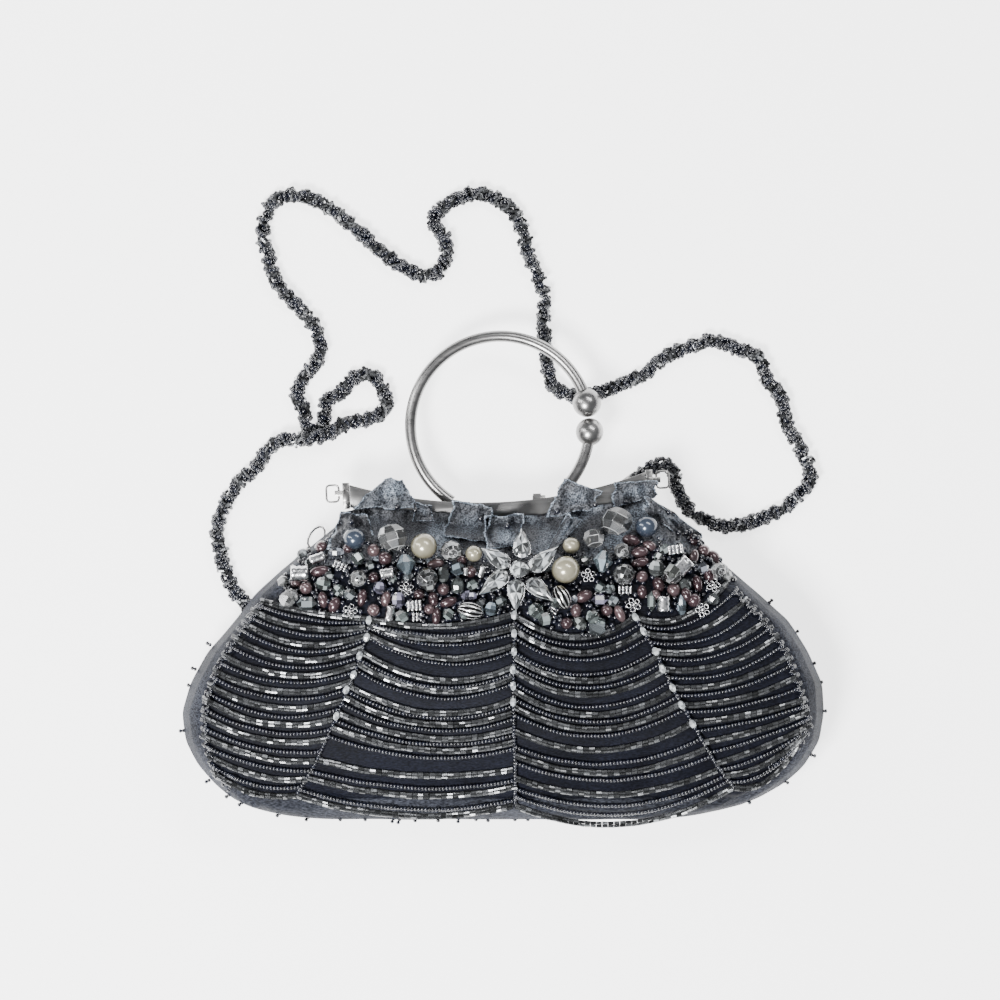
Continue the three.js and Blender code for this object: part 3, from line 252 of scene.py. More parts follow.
def fluted_silver():
    """Silver whose grooves, value groove from 0 to 1, are blackened."""
    made = new_material("fluted_silver", (0.6, 0.6, 0.6), 0.22, 1.0)
    tone = noise_at(made, 900, 3)
    shade = ramp(made, attribute(made, "groove"), (0.2, grey(0.86)), (0.5, grey(0.3)), (0.62, grey(0.015)))
    colour_by(made, shade)
    bump_by(made, tone, 0.1, 0.00005)
    return made


GUNMETAL = gunmetal()
SILVER = antique_silver()
FLUTED = fluted_silver()

# %% [markdown]
# The body is satin over padding. The front panel is dark slate blue. The border and back catch more light, so
# they are painted a paler grey blue, a painted sheen. Fine noise, drawn out along the threads, mottles both, and
# broad patches make some places look worn.

# %% Satin
def satin():
    made = new_material("satin", (0.05, 0.06, 0.09), 0.55, 0.0, Specular_IOR_Level=0.08)
    mottling = noise_at(made, 1900, 4, (0.35, 1, 1))
    fleck = noise_at(made, 2400, 3, (0.3, 1, 1))
    front = ramp(made, mottling, (0.36, (0.003, 0.0034, 0.006)), (0.68, (0.01, 0.0115, 0.02)))
    # Painted sheen: the border and back are painted paler, where they catch more light.
    border = ramp(made, mottling, (0.36, (0.007, 0.0078, 0.011)), (0.66, (0.06, 0.065, 0.083)))
    mix = node(made, "ShaderNodeMix", data_type="RGBA")
    link(made, attribute(made, "border"), mix.inputs["Factor"])
    link(made, front, mix.inputs["A"])
    link(made, border, mix.inputs["B"])
    patches = ramp(made, noise_at(made, 38, 3), (0.38, grey(0.55)), (0.62, grey(1.0)))
    worn = node(made, "ShaderNodeMix", data_type="RGBA", blend_type="MULTIPLY")
    worn.inputs["Factor"].default_value = 1.0
    link(made, mix.outputs["Result"], worn.inputs["A"])
    link(made, patches, worn.inputs["B"])
    colour_by(made, worn.outputs["Result"])
    bump_by(made, fleck, 0.6, 0.0003)
    return made


SATIN = satin()

# %% [markdown]
# Every piece is made in a bmesh, written to an object that sits at the origin, told which body it rides on,
# and given its finish.

# %% Piece helpers
def link_piece(name, mesh, finish, smooth=True):
    piece = bpy.data.objects.new(name, mesh)
    bpy.context.collection.objects.link(piece)
    mesh.materials.clear()
    mesh.materials.append(finish)
    if smooth:
        mesh.shade_smooth()
    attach(piece, "root")
    return piece


def piece_from(name, bm, finish, smooth=True):
    bmesh.ops.recalc_face_normals(bm, faces=bm.faces)
    mesh = bpy.data.meshes.new(name)
    bm.to_mesh(mesh)
    bm.free()
    return link_piece(name, mesh, finish, smooth)


def merged_copy(*names):
    """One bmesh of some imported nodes, with the loose triangles' corners joined."""
    bm = bmesh.new()
    for name in names:
        bm.from_mesh(frame["nodes"][name].data)
    bmesh.ops.remove_doubles(bm, verts=bm.verts, dist=0.00002)
    return bm


def tree_of(*names):
    bm = merged_copy(*names)
    tree = BVHTree.FromBMesh(bm)
    bm.free()
    return tree


def middle_of(name):
    low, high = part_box(name)
    return (Vector(low) + Vector(high)) / 2


def size_of(name):
    low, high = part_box(name)
    return Vector(high) - Vector(low)


ABOVE = 0.2
BODY_TREE = tree_of("front_panel", "back_shell")
CARRIER_TREE = tree_of("front_panel", "back_shell", "frame_front", "frame_back")
DOWN = Vector((0, 0, -1))


def height_at(x, y, tree=None):
    """The height of the body, or of another tree, over a point; 0 where there is only the floor."""
    hit = (tree or BODY_TREE).ray_cast(Vector((x, y, ABOVE)), DOWN)
    return hit[0].z if hit[0] else 0.0


def normal_at(x, y):
    """The way that the front faces over a point, smoothed over a few millimetres."""
    step = 3 * MM
    slope_x = (height_at(x + step, y) - height_at(x - step, y)) / (2 * step)
    slope_y = (height_at(x, y + step) - height_at(x, y - step)) / (2 * step)
    return Vector((-slope_x, -slope_y, 1)).normalized()


# %% [markdown]
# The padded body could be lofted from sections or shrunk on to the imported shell. Here an even ball of small
# faces is drawn out to the size of the bag and each corner is cast on to the shell from outside, which keeps
# the faces even from every side. Smoothing rounds what is faceted, the seam is sunk where the front panel
# meets the border, and small puckers are pressed in along it.

# %% Padded body
SEAM_DEPTH = 1.3 * MM
SEAM_WIDTH = 1.8 * MM
PUCKER_DEPTH = 0.55 * MM
PUCKER_REACH = 9 * MM
PUCKER_PITCH = 5.5 * MM
BODY_CENTRE = Vector((0, -0.006, 0.02))
CAST_FROM = 0.4  # metres from the middle, well outside the bag
BODY_AROUND = 110 * MM  # the radius at which the puckers have their pitch
SOFT_DENT = 0.35 * MM
REST_HEIGHT = 1.5 * MM  # what is lower rests on the surface and stays where it is
SMOOTH_ROUNDS = 6


def cast_on_shell(bm):
    low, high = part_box("back_shell")
    half = (Vector(high) - Vector(low)) / 2
    for vertex in bm.verts:
        way = Vector((vertex.co.x * half.x, vertex.co.y * half.y, vertex.co.z * half.z)).normalized()
        hit = BODY_TREE.ray_cast(BODY_CENTRE + way * CAST_FROM, -way)
        vertex.co = hit[0] if hit[0] else BODY_CENTRE + way * 0.02


def sink_seam(bm, panel, shell):
    """Sinks the seam and presses puckers in beside it; returns how far each corner is on the border."""
    border = []
    bm.normal_update()
    moves = []
    for vertex in bm.verts:
        to_panel = panel.find_nearest(vertex.co)[3]
        to_shell = shell.find_nearest(vertex.co)[3]
        off = to_panel + to_shell
        across = min(1.0, off / PUCKER_REACH)
        angle = math.atan2(vertex.co.y, vertex.co.x)
        around = angle * BODY_AROUND / PUCKER_PITCH * (1 + 0.25 * noise.noise(vertex.co * 30))
        pucker = math.sin(around * math.pi) * (1 - across) ** 2 * min(1.0, off / (2 * MM))
        soft = noise.noise(vertex.co * 60) * SOFT_DENT
        depth = SEAM_DEPTH * math.exp(-((off / SEAM_WIDTH) ** 2)) + PUCKER_DEPTH * pucker + soft
        rests = vertex.co.z < REST_HEIGHT
        moves.append((vertex, Vector() if rests else -vertex.normal * depth))
        # How far the corner is on the border: where the satin is painted paler, a painted sheen.
        border.append(min(1.0, max(0.0, 0.5 + (to_panel - to_shell) / (1.6 * MM))))
    for vertex, move in moves:
        vertex.co += move
    return border


def make_body():
    bm = bmesh.new()
    bmesh.ops.create_icosphere(bm, subdivisions=7, radius=1)
    cast_on_shell(bm)
    for _ in range(SMOOTH_ROUNDS):
        bmesh.ops.smooth_vert(bm, verts=bm.verts, factor=0.5, use_axis_x=True, use_axis_y=True, use_axis_z=True)
    bmesh.ops.recalc_face_normals(bm, faces=bm.faces)
    border = sink_seam(bm, tree_of("front_panel"), tree_of("back_shell"))
    body = piece_from("satin_body", bm, SATIN)
    shade = body.data.attributes.new("border", "FLOAT", "POINT")
    shade.data.foreach_set("value", border)
    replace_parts(body, "front_panel", "back_shell")
    print("padded body:", len(body.data.vertices), "corners")


make_body()

# %% [markdown]
# Frame, caps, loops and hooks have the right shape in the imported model. Only their edges are too sharp, so a
# merged copy of each gets a small bevel, which catches the light as rolled and tumbled metal does.

# %% Frame metal
EDGE_ANGLE = math.radians(28)
METAL_SMOOTH = math.radians(35)  # an edge that turns by less is shown smooth
ROD_SMOOTH = math.radians(40)
CHANNEL_EDGE = 0.35 * MM
WIRE_EDGE = 0.12 * MM


def softened(name, radius, segments=2):
    """A copy of a packed metal node with its sharp edges rounded."""
    bm = merged_copy(name)
    bmesh.ops.dissolve_limit(bm, angle_limit=math.radians(1), verts=bm.verts, edges=bm.edges)
    sharp = [e for e in bm.edges if len(e.link_faces) == 2 and e.calc_face_angle(0) > EDGE_ANGLE]
    bmesh.ops.bevel(
        bm, geom=sharp, offset=radius, offset_type="OFFSET", affect="EDGES", segments=segments,
        profile=0.5, material=-1, clamp_overlap=True,
    )
    piece = piece_from(name + "_metal", bm, GUNMETAL)
    smooth_by_angle(piece, METAL_SMOOTH)
    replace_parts(piece, name)
    return piece


def smooth_by_angle(piece, angle):
    """Keeps the edges sharp that turn by more than an angle."""
    bm = bmesh.new()
    bm.from_mesh(piece.data)
    for edge in bm.edges:
        edge.smooth = len(edge.link_faces) == 2 and edge.calc_face_angle(0) < angle
    for face in bm.faces:
        face.smooth = True
    bm.to_mesh(piece.data)
    bm.free()


for name in ("frame_front", "frame_back", "hinge_cap_left", "hinge_cap_right"):
    softened(name, CHANNEL_EDGE)
for name in ("strap_loop_left", "strap_loop_right", "strap_hook_left", "strap_hook_right"):
    softened(name, WIRE_EDGE, 1)
print("frame metal done")

# %% [markdown]
# The ring handle is one round rod, bent to a circle and cut once, with a ball on each cut end. A circle of
# points spun about the ring's centre makes the rod. Its foot dips into the frame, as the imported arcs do.

# %% Ring handle
RING_CENTRE = Vector((-1.2 * MM, 98.4 * MM, 0))
RING_RADIUS = 37.7 * MM
ROD_RADIUS = 2.4 * MM
ARCS = (
    {"name": "handle_long_arc", "start": 14.8, "end": 237.5, "foot_z": 14.6 * MM, "ball": 12.1 * MM},
    {"name": "handle_short_arc", "start": -3.9, "end": -47.5, "foot_z": 21.4 * MM, "ball": 11.7 * MM},
)
BALL_Z = 18 * MM
ROD_SIDES = 28


def ring_point(angle, z):
    turn = math.radians(angle)
    return RING_CENTRE + Vector((RING_RADIUS * math.cos(turn), RING_RADIUS * math.sin(turn), z))


def make_arc(arc):
    steps = round(abs(arc["end"] - arc["start"]) / 2)
    bm = bmesh.new()
    start = ring_point(arc["start"], BALL_Z)
    upright = Matrix.Rotation(math.pi / 2, 4, "X")
    turned = Matrix.Rotation(math.radians(arc["start"]), 4, "Z")
    ring = bmesh.ops.create_circle(
        bm, segments=ROD_SIDES, radius=ROD_RADIUS, cap_ends=False,
        matrix=Matrix.Translation(start) @ turned @ upright,
    )
    sweep = math.radians(arc["end"] - arc["start"])
    edges = list({e for v in ring["verts"] for e in v.link_edges})
    bmesh.ops.spin(
        bm, geom=ring["verts"] + edges, cent=RING_CENTRE, axis=(0, 0, 1), dvec=(0, 0, 0), angle=sweep,
        steps=steps, use_merge=False,
    )
    for vertex in bm.verts:
        flat = vertex.co - RING_CENTRE
        angle = math.degrees(math.atan2(flat.y, flat.x))
        if arc["end"] > 180 and angle < arc["start"] - 90:
            angle += 360
        share = (angle - arc["start"]) / (arc["end"] - arc["start"])
        vertex.co.z += (arc["foot_z"] - BALL_Z) * min(1, max(0, share))
    bmesh.ops.holes_fill(bm, edges=[e for e in bm.edges if e.is_boundary], sides=0)
    bmesh.ops.create_uvsphere(
        bm, u_segments=40, v_segments=24, radius=arc["ball"] / 2, matrix=Matrix.Translation(start)
    )
    piece = piece_from(arc["name"] + "_rod", bm, GUNMETAL)
    smooth_by_angle(piece, ROD_SMOOTH)
    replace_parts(piece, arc["name"])


for arc in ARCS:
    make_arc(arc)
print("ring handle done")

# %% [markdown]
# Hundreds of beads hang on the bag. Each kind of bead is modelled once, and Geometry Nodes sets a copy on
# every point, turned and sized by the point's own values. The copies are then made real, so that each string
# is one mesh. Each bead also carries a tint, a number from 0 to 1, that its material reads.

# %% Bead strings by Geometry Nodes
class Place:
    """Where a bead sits, how it is turned, its size and its tint."""

    def __init__(self, at, along=None, size=(1, 1, 1), roll=0.0, tint=None, turn=None):
        self.at = Vector(at)
        if turn is None:
            turn = (Vector(along) if along is not None else Vector((1, 0, 0))).to_track_quat("X", "Z")
            turn = turn @ Euler((roll, 0, 0)).to_quaternion()
        self.turn = turn.to_euler()
        self.size = size
        self.tint = random.random() if tint is None else tint


def bead_nodes(bead):
    tree = bpy.data.node_groups.new("beads of " + bead.name, "GeometryNodeTree")
    tree.interface.new_socket("Geometry", in_out="INPUT", socket_type="NodeSocketGeometry")
    tree.interface.new_socket("Geometry", in_out="OUTPUT", socket_type="NodeSocketGeometry")
    source = tree.nodes.new("NodeGroupInput")
    target = tree.nodes.new("NodeGroupOutput")
    copies = tree.nodes.new("GeometryNodeInstanceOnPoints")
    shape = tree.nodes.new("GeometryNodeObjectInfo")
    shape.inputs["Object"].default_value = bead
    real = tree.nodes.new("GeometryNodeRealizeInstances")
    tree.links.new(source.outputs[0], copies.inputs["Points"])
    tree.links.new(shape.outputs["Geometry"], copies.inputs["Instance"])
    for key, socket in (("turn", "Rotation"), ("size", "Scale")):
        reader = tree.nodes.new("GeometryNodeInputNamedAttribute")
        reader.data_type = "FLOAT_VECTOR"
        reader.inputs["Name"].default_value = key
        tree.links.new(reader.outputs["Attribute"], copies.inputs[socket])
    tree.links.new(copies.outputs["Instances"], real.inputs["Geometry"])
    tree.links.new(real.outputs["Geometry"], target.inputs[0])
    return tree


def bead_mesh(name, bead, places):
    """A mesh of one bead copied to all the places."""
    points = bpy.data.meshes.new(name + "_points")
    points.from_pydata([place.at for place in places], [], [])
    for key in ("turn", "size"):
        values = points.attributes.new(key, "FLOAT_VECTOR", "POINT")
        values.data.foreach_set("vector", [n for place in places for n in getattr(place, key)])
    tints = points.attributes.new("tint", "FLOAT", "POINT")
    tints.data.foreach_set("value", [place.tint for place in places])
    holder = bpy.data.objects.new(name + "_holder", points)
    bpy.context.collection.objects.link(holder)
    strung = holder.modifiers.new("beads", "NODES")
    strung.node_group = bead_nodes(bead)
    graph = bpy.context.evaluated_depsgraph_get()
    mesh = bpy.data.meshes.new_from_object(holder.evaluated_get(graph))
    bpy.data.objects.remove(holder)
    bpy.data.meshes.remove(points)
    return mesh


def pattern(name, bm, smooth=True):
    """A bead that is only copied from, kept out of the scene."""
    mesh = bpy.data.meshes.new(name)
    bm.to_mesh(mesh)
    bm.free()
    if smooth:
        mesh.shade_smooth()
    bead = bpy.data.objects.new(name, mesh)
    bpy.context.collection.objects.link(bead)
    return bead


def joined(name, meshes, finish):
    """Several bead meshes as one piece, all with one finish."""
    bm = bmesh.new()
    for mesh in meshes:
        bm.from_mesh(mesh)
    mesh = bpy.data.meshes.new(name)
    bm.to_mesh(mesh)
    bm.free()
    piece = link_piece(name, mesh, finish, smooth=False)
    print(name, "has", len(mesh.polygons), "faces")
    return piece


# %% [markdown]
# Glass seed beads are near black with a hard gloss, so each one shows a point of light. The tube beads, called
# bugles, are smoky glass with a silver lining: a few flash brightly and most stay dull. The tint of each bead
# picks its shade.

# %% Bead finishes
def seed_glass():
    made = new_material("seed_glass", (0.005, 0.006, 0.01), 0.14, 0.0, Coat_Weight=0.8, Coat_Roughness=0.07)
    shades = ramp(made, attribute(made, "tint"), (0.0, (0.002, 0.002, 0.004)), (1.0, (0.01, 0.012, 0.022)))
    colour_by(made, shades)
    return made


def bugle_glass():
    made = new_material("bugle_glass", (0.2, 0.2, 0.19), 0.24, 0.7, Coat_Weight=0.3, Coat_Roughness=0.05)
    shades = ramp(
        made, attribute(made, "tint"), (0.0, (0.025, 0.026, 0.027)), (0.5, (0.062, 0.064, 0.067)),
        (0.93, (0.11, 0.113, 0.118)), (1.0, (0.26, 0.27, 0.28)),
    )
    colour_by(made, shades)
    streaks = noise_at(made, 1600, 2)
    link(made, ramp(made, streaks, (0.3, grey(0.16)), (0.7, grey(0.42))), shader_of(made).inputs["Roughness"])
    return made


SEED_GLASS = seed_glass()
BUGLE_GLASS = bugle_glass()

# %% [markdown]
# A seed bead is a short, round-shouldered ring, and at this size an eight-sided ball pressed flat along its
# thread is enough. A bugle is a six-sided tube with flat ends.

# %% Seed bead and bugle
SEED_PITCH = 1.45 * MM
SEED_ACROSS = 2.0 * MM
SEED_FLAT = 0.82  # a seed's length along its thread, a share of its width
BUGLE_LONG = 2.4 * MM
BUGLE_PITCH = 2.5 * MM
BUGLE_ACROSS = 1.4 * MM


def seed_pattern():
    bm = bmesh.new()
    bmesh.ops.create_uvsphere(bm, u_segments=8, v_segments=5, radius=SEED_ACROSS / 2)
    along_x = Matrix.Rotation(math.pi / 2, 3, "Y")
    bmesh.ops.transform(bm, matrix=along_x.to_4x4(), verts=bm.verts)
    bmesh.ops.scale(bm, vec=(SEED_FLAT, 1, 1), verts=bm.verts)
    return pattern("seed_pattern", bm)


def bugle_pattern():
    bm = bmesh.new()
    bmesh.ops.create_cone(
        bm, cap_ends=True, segments=6, radius1=BUGLE_ACROSS / 2, radius2=BUGLE_ACROSS / 2, depth=BUGLE_LONG
    )
    along_x = Matrix.Rotation(math.pi / 2, 3, "Y")
    bmesh.ops.transform(bm, matrix=along_x.to_4x4(), verts=bm.verts)
    return pattern("bugle_pattern", bm, smooth=False)


SEED = seed_pattern()
BUGLE = bugle_pattern()


def tree_from(piece):
    bm = bmesh.new()
    bm.from_mesh(piece.data)
    tree = BVHTree.FromBMesh(bm)
    bm.free()
    return tree


SKIN_TREE = tree_from(bpy.data.objects["satin_body"])
print("bead patterns done")

# %% [markdown]
# A strand is a line of beads between two points. It is walked in steps of one bead, and each bead is turned
# along the line. Seeds roll freely, so their roll and size vary a little.

# %% Strands
def walk(line, pitch):
    """Points and directions at even steps along a line of points."""
    made = []
    left = pitch / 2
    for a, b in zip(line, line[1:]):
        span = (b - a).length
        if span < 1e-7:
            continue
        way = (b - a) / span
        at = left
        while at <= span:
            made.append((a + way * at, way))
            at += pitch
        left = at - span
    return made


def seed_places(line, scale=1.0):
    made = []
    for at, way in walk(line, SEED_PITCH * scale):
        size = scale * random.uniform(0.93, 1.05)
        made.append(Place(at, way, (scale, size, size), random.uniform(0, 3)))
    return made


def bugle_places(line, scale=1.0):
    made = []
    for at, way in walk(line, BUGLE_PITCH * scale):
        tilt = Vector((random.gauss(0, 0.03), random.gauss(0, 0.03), random.gauss(0, 0.03)))
        long = scale * random.uniform(0.9, 1.02)
        made.append(Place(at, way + tilt, (long, scale, scale), random.uniform(0, 3)))
    return made


# %% [markdown]
# The front is hung with four columns of strands between three seams and the two side edges. The seams were
# read from the photo at a few points each. Each column lists the heights of its strands halfway across, as
# they hang unevenly by hand; B is a strand of bugles and S one of seeds.

# %% Hanging strands
SEAMS = {
    "edge_left": ((262, 600), (240, 625), (217, 664), (205, 695), (203, 735), (214, 772)),
    "seam_left": ((370, 618), (368, 636), (355, 673), (338, 714), (317, 761), (297, 794)),
    "seam_middle": ((514, 613), (514, 651), (513, 686), (514, 730), (515, 770), (515, 804)),
    "seam_right": ((634, 616), (654, 650), (671, 686), (691, 722), (715, 763), (733, 786)),
    "edge_right": ((728, 580), (765, 620), (787, 655), (804, 700), (808, 725), (797, 742)),
}
COLUMNS = (
    {"left": "edge_left", "right": "seam_left", "strands":
     "B612 S619 B627 S634 B643 S650 B658 S666 B674 S681 B690 S697 B706 S714 B722 S730 B738 S747 B755 S764 "
     "B774 S783 B792"},
    {"left": "seam_left", "right": "seam_middle", "strands":
     "B625 S634 B638 S644 B656 S662 B678 S685 B689 S696 B711 S716 B722 S728 B736 S742 B748 S755 B774 S786 "
     "B794 S808 B815"},
    {"left": "seam_middle", "right": "seam_right", "strands":
     "B636 S644 B651 S659 S673 B679 S686 B693 S705 B713 S720 B727 S734 B748 S762 B771 S778 B793 S804 S813 "
     "B824"},
    {"left": "seam_right", "right": "edge_right", "strands":
     "B616 S623 B631 S639 B648 S655 B664 S672 B681 S688 B697 S704 B713 S720 B729 S737 B746 S754 B763 S771 "
     "B780"},
)
STRAND_STEPS = 26
STRAND_LIFT = 0.35 * MM
STRAND_WAVER = 1.1  # pixels
BUGLE_ASIDE = 0.46  # the bugles lie in pairs of strands, this share of their width to each side
FREE_DROP = 0.2  # how much lower a strand hangs where nothing carries it, a share of its height
LOWEST_STRAND = 19 * MM  # a strand that comes over the bag's edge hangs no lower


def along_seam(name, share):
    points = SEAMS[name]
    place = min(max(share, 0), 1) * (len(points) - 1)
    i = min(int(place), len(points) - 2)
    t = place - i
    return tuple(a + (b - a) * t for a, b in zip(points[i], points[i + 1]))


def on_skin(x, y, lift, default=None):
    hit = SKIN_TREE.ray_cast(Vector((x, y, ABOVE)), DOWN)
    if hit[0]:
        return hit[0] + Vector((0, 0, lift / max(hit[1].z, 0.35)))
    return None if default is None else Vector((x, y, default))


def fill_free(line):
    """Gives the points that nothing carries a height between their neighbours', let down a little."""
    held = [i for i, p in enumerate(line) if p[1] is not None]
    made = []
    for i, (flat, z) in enumerate(line):
        if z is None:
            before = max((k for k in held if k < i), default=held[0])
            after = min((k for k in held if k > i), default=held[-1])
            share = (i - before) / max(1, after - before)
            level = line[before][1] * (1 - share) + line[after][1] * share
            z = level * (1 - FREE_DROP * 4 * share * (1 - share) * min(1, (after - before) / 8))
        made.append(Vector((*flat, z)))
    return made


def strand_line(column, share, middle, index):
    """The line of one strand, sagging between its two seams to its height in the middle."""
    left = along_seam(column["left"], share)
    right = along_seam(column["right"], share)
    sag = middle - (left[1] + right[1]) / 2
    line = []
    for step in range(STRAND_STEPS + 1):
        t = step / STRAND_STEPS
        px = left[0] + (right[0] - left[0]) * t
        py = left[1] + (right[1] - left[1]) * t + sag * 4 * t * (1 - t)
        py += STRAND_WAVER * noise.noise(Vector((px * 0.03, index * 3.7, column_number(column) * 9.1)))
        x, y = at_pixel(px, py)
        hit = on_skin(x, y, STRAND_LIFT + SEED_ACROSS / 2)
        line.append(((x, y), max(hit.z, LOWEST_STRAND) if hit else None))
    return fill_free(line)


def column_number(column):
    return COLUMNS.index(column)


def make_column(column):
    strands = column["strands"].split()
    heights = [int(word[1:]) for word in strands]
    seeds = []
    bugles = []
    for index, (word, height) in enumerate(zip(strands, heights)):
        share = (height - heights[0]) / (heights[-1] - heights[0])
        line = strand_line(column, share, height, index)
        if word[0] == "S":
            seeds += seed_places(line)
        else:
            for side in (-1, 1):
                beside = [at + Vector((0, side * BUGLE_ACROSS * BUGLE_ASIDE, 0)) for at in line]
                bugles += bugle_places(beside)
    number = str(column_number(column) + 1)
    finished_seeds = joined(
        "strands_seed_" + number, [bead_mesh("seeds", SEED, seeds)], SEED_GLASS
    )
    joined("strands_bugle_" + number, [bead_mesh("bugles", BUGLE, bugles)], BUGLE_GLASS)
    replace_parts(finished_seeds, "swag_column_" + number)


for column in COLUMNS:
    make_column(column)


# %% [markdown]
# Cut glass is made like its mould: a ball or cone with few sides and flat faces. Real facets mirror bright and
# dark parts of a room, so each face here gets a shade of its own, and the thin ones along its edges flash. A
# pearl is painted paler where it faces the eye and darker towards its rim, a painted shade, under a clear coat.

# %% Glass and pearl finishes
GLASS_ROUGHNESS = 0.03
PEARL_GRAIN = 500


def facet_shades(made, colours):
    """Multiplies colours by how much light each facet sends back, its value facet from 0 to 1."""
    shade = ramp(
        made, attribute(made, "facet"), (0.0, grey(0.03)), (0.45, grey(0.13)), (0.78, grey(0.42)),
        (0.92, grey(1.0)),
    )
    mix = node(made, "ShaderNodeMix", data_type="RGBA", blend_type="MULTIPLY")
    mix.inputs["Factor"].default_value = 1.0
    link(made, colours, mix.inputs["A"])
    link(made, shade, mix.inputs["B"])
    colour_by(made, mix.outputs["Result"])


def cut_glass(name, colour, clear):
    """Glass whose shades are still to be linked."""
    return new_material(name, colour, GLASS_ROUGHNESS, 0.0, IOR=1.6, Transmission_Weight=clear)


def crystal(name, colour, clear):
    made = cut_glass(name, colour, clear)
    cloud = noise_at(made, 260, 3)
    pale = tuple(min(1.0, c * 1.15 + 0.03) for c in colour)
    deep = tuple(c * 0.8 for c in colour)
    facet_shades(made, ramp(made, cloud, (0.35, deep), (0.65, pale)))
    return made


def shade_facets(mesh, least=0.0):
    """Gives each face a share of the light at random; the thin faces along the edges are the brightest."""
    areas = [face.area for face in mesh.polygons]
    thin = 0.3 * sum(areas) / len(areas)
    values = [1.0 if area < thin else random.uniform(least, 1) for area in areas]
    facet = mesh.attributes.new("facet", "FLOAT", "FACE")
    facet.data.foreach_set("value", values)


def pearl_coat(name, colour, metallic):
    """A pearl's gloss and fine grain, whose shades are still to be linked."""
    made = new_material(name, colour, 0.25, metallic, Coat_Weight=0.8, Coat_Roughness=0.06)
    bump_by(made, noise_at(made, PEARL_GRAIN, 4), 0.08, 0.0001)
    return made


def pearl(name, deep, pale):
    made = pearl_coat(name, pale, 0.35)
    # Painted shade: the pearl is painted darker towards its rim and paler where it faces the eye.
    rim_shade = node(made, "ShaderNodeLayerWeight")
    rim_shade.inputs["Blend"].default_value = 0.35
    cloud = noise_at(made, PEARL_GRAIN, 4)
    mix = node(made, "ShaderNodeMath", operation="MULTIPLY_ADD")
    link(made, cloud, mix.inputs[0])
    mix.inputs[1].default_value = 0.35
    link(made, rim_shade.outputs["Facing"], mix.inputs[2])
    colour_by(made, ramp(made, mix.outputs[0], (0.1, pale), (0.95, deep)))
    return made


CLEAR = crystal("crystal_clear", (0.9, 0.94, 0.97), 0.6)
SMOKY = crystal("crystal_smoky", (0.42, 0.43, 0.44), 0.65)
PALE_BLUE = crystal("crystal_pale_blue", (0.6, 0.75, 0.86), 0.6)
FOILED = crystal("crystal_foiled", (0.8, 0.85, 0.9), 0.3)
CREAM = pearl("pearl_cream", (0.1, 0.09, 0.055), (0.36, 0.335, 0.245))
BLUE_PEARL = pearl("pearl_blue", (0.008, 0.011, 0.018), (0.045, 0.06, 0.088))


def tinted_crystal():
    made = cut_glass("crystal_small", (0.8, 0.85, 0.88), 0.6)
    shades = ramp(
        made, attribute(made, "tint"), (0.0, (0.8, 0.85, 0.86)), (0.3, (0.58, 0.68, 0.67)),
        (0.5, (0.56, 0.54, 0.74)), (0.62, (0.64, 0.68, 0.64)), (0.8, (0.5, 0.62, 0.72)),
        (0.95, (0.84, 0.86, 0.86)),
    )
    facet_shades(made, shades)
    return made


def mauve_pearl():
    made = pearl_coat("pearl_mauve", (0.36, 0.2, 0.2), 0.5)
    shades = ramp(
        made, attribute(made, "tint"), (0.0, (0.03, 0.015, 0.018)), (0.5, (0.062, 0.036, 0.041)),
        (1.0, (0.125, 0.084, 0.088)),
    )
    colour_by(made, shades)
    return made


SMALL_CRYSTAL = tinted_crystal()
MAUVE = mauve_pearl()

# %% [markdown]
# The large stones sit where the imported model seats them, so each is made at its node's middle and size. A
# faceted bead is a ball of few sides, left flat; its poles are turned sideways, as its hole runs across.

# %% Large stones and pearls
def seated(bm, name, turn):
    """Turns and moves a shape of size 2 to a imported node's middle and size."""
    size = size_of(name) / 2
    turned = Euler([math.radians(a) for a in turn]).to_matrix().to_4x4()
    place = Matrix.Translation(middle_of(name)) @ Matrix.Diagonal((*size, 1))
    bmesh.ops.transform(bm, matrix=place @ turned, verts=bm.verts)


def make_pearl(name, finish):
    bm = bmesh.new()
    bmesh.ops.create_uvsphere(bm, u_segments=36, v_segments=24, radius=1)
    seated(bm, name, (70, 15, 0))
    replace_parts(piece_from(name + "_bead", bm, finish), name)


def faceted_ball(bm, sides, rings):
    bmesh.ops.create_uvsphere(bm, u_segments=sides, v_segments=rings, radius=1)
    bmesh.ops.bevel(
        bm, geom=bm.edges[:], offset=0.03, offset_type="OFFSET", affect="EDGES", segments=1, profile=0.5,
        material=-1,
    )


def bicone(bm, sides):
    bmesh.ops.create_cone(bm, cap_ends=True, segments=sides, radius1=1, radius2=0.3, depth=1)
    bmesh.ops.translate(bm, verts=bm.verts, vec=(0, 0, 0.5))
    bmesh.ops.mirror(bm, geom=bm.verts[:] + bm.edges[:] + bm.faces[:], axis="Z", merge_dist=0.001)
    inside = [f for f in bm.faces if all(abs(v.co.z) < 0.001 for v in f.verts)]
    bmesh.ops.delete(bm, geom=inside, context="FACES_ONLY")


def make_stone(row):
    bm = bmesh.new()
    if row["rings"]:
        faceted_ball(bm, row["sides"], row["rings"])
    else:
        bicone(bm, row["sides"])
    seated(bm, row["name"], row["turn"])
    stone = piece_from(row["name"] + "_cut", bm, row["finish"], smooth=False)
    shade_facets(stone.data)
    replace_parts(stone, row["name"])


for name in ("pearl_cream_left", "pearl_cream_middle", "pearl_cream_small", "pearl_cream_right"):
    make_pearl(name, CREAM)
for name in ("pearl_blue_left", "pearl_blue_right"):
    make_pearl(name, BLUE_PEARL)

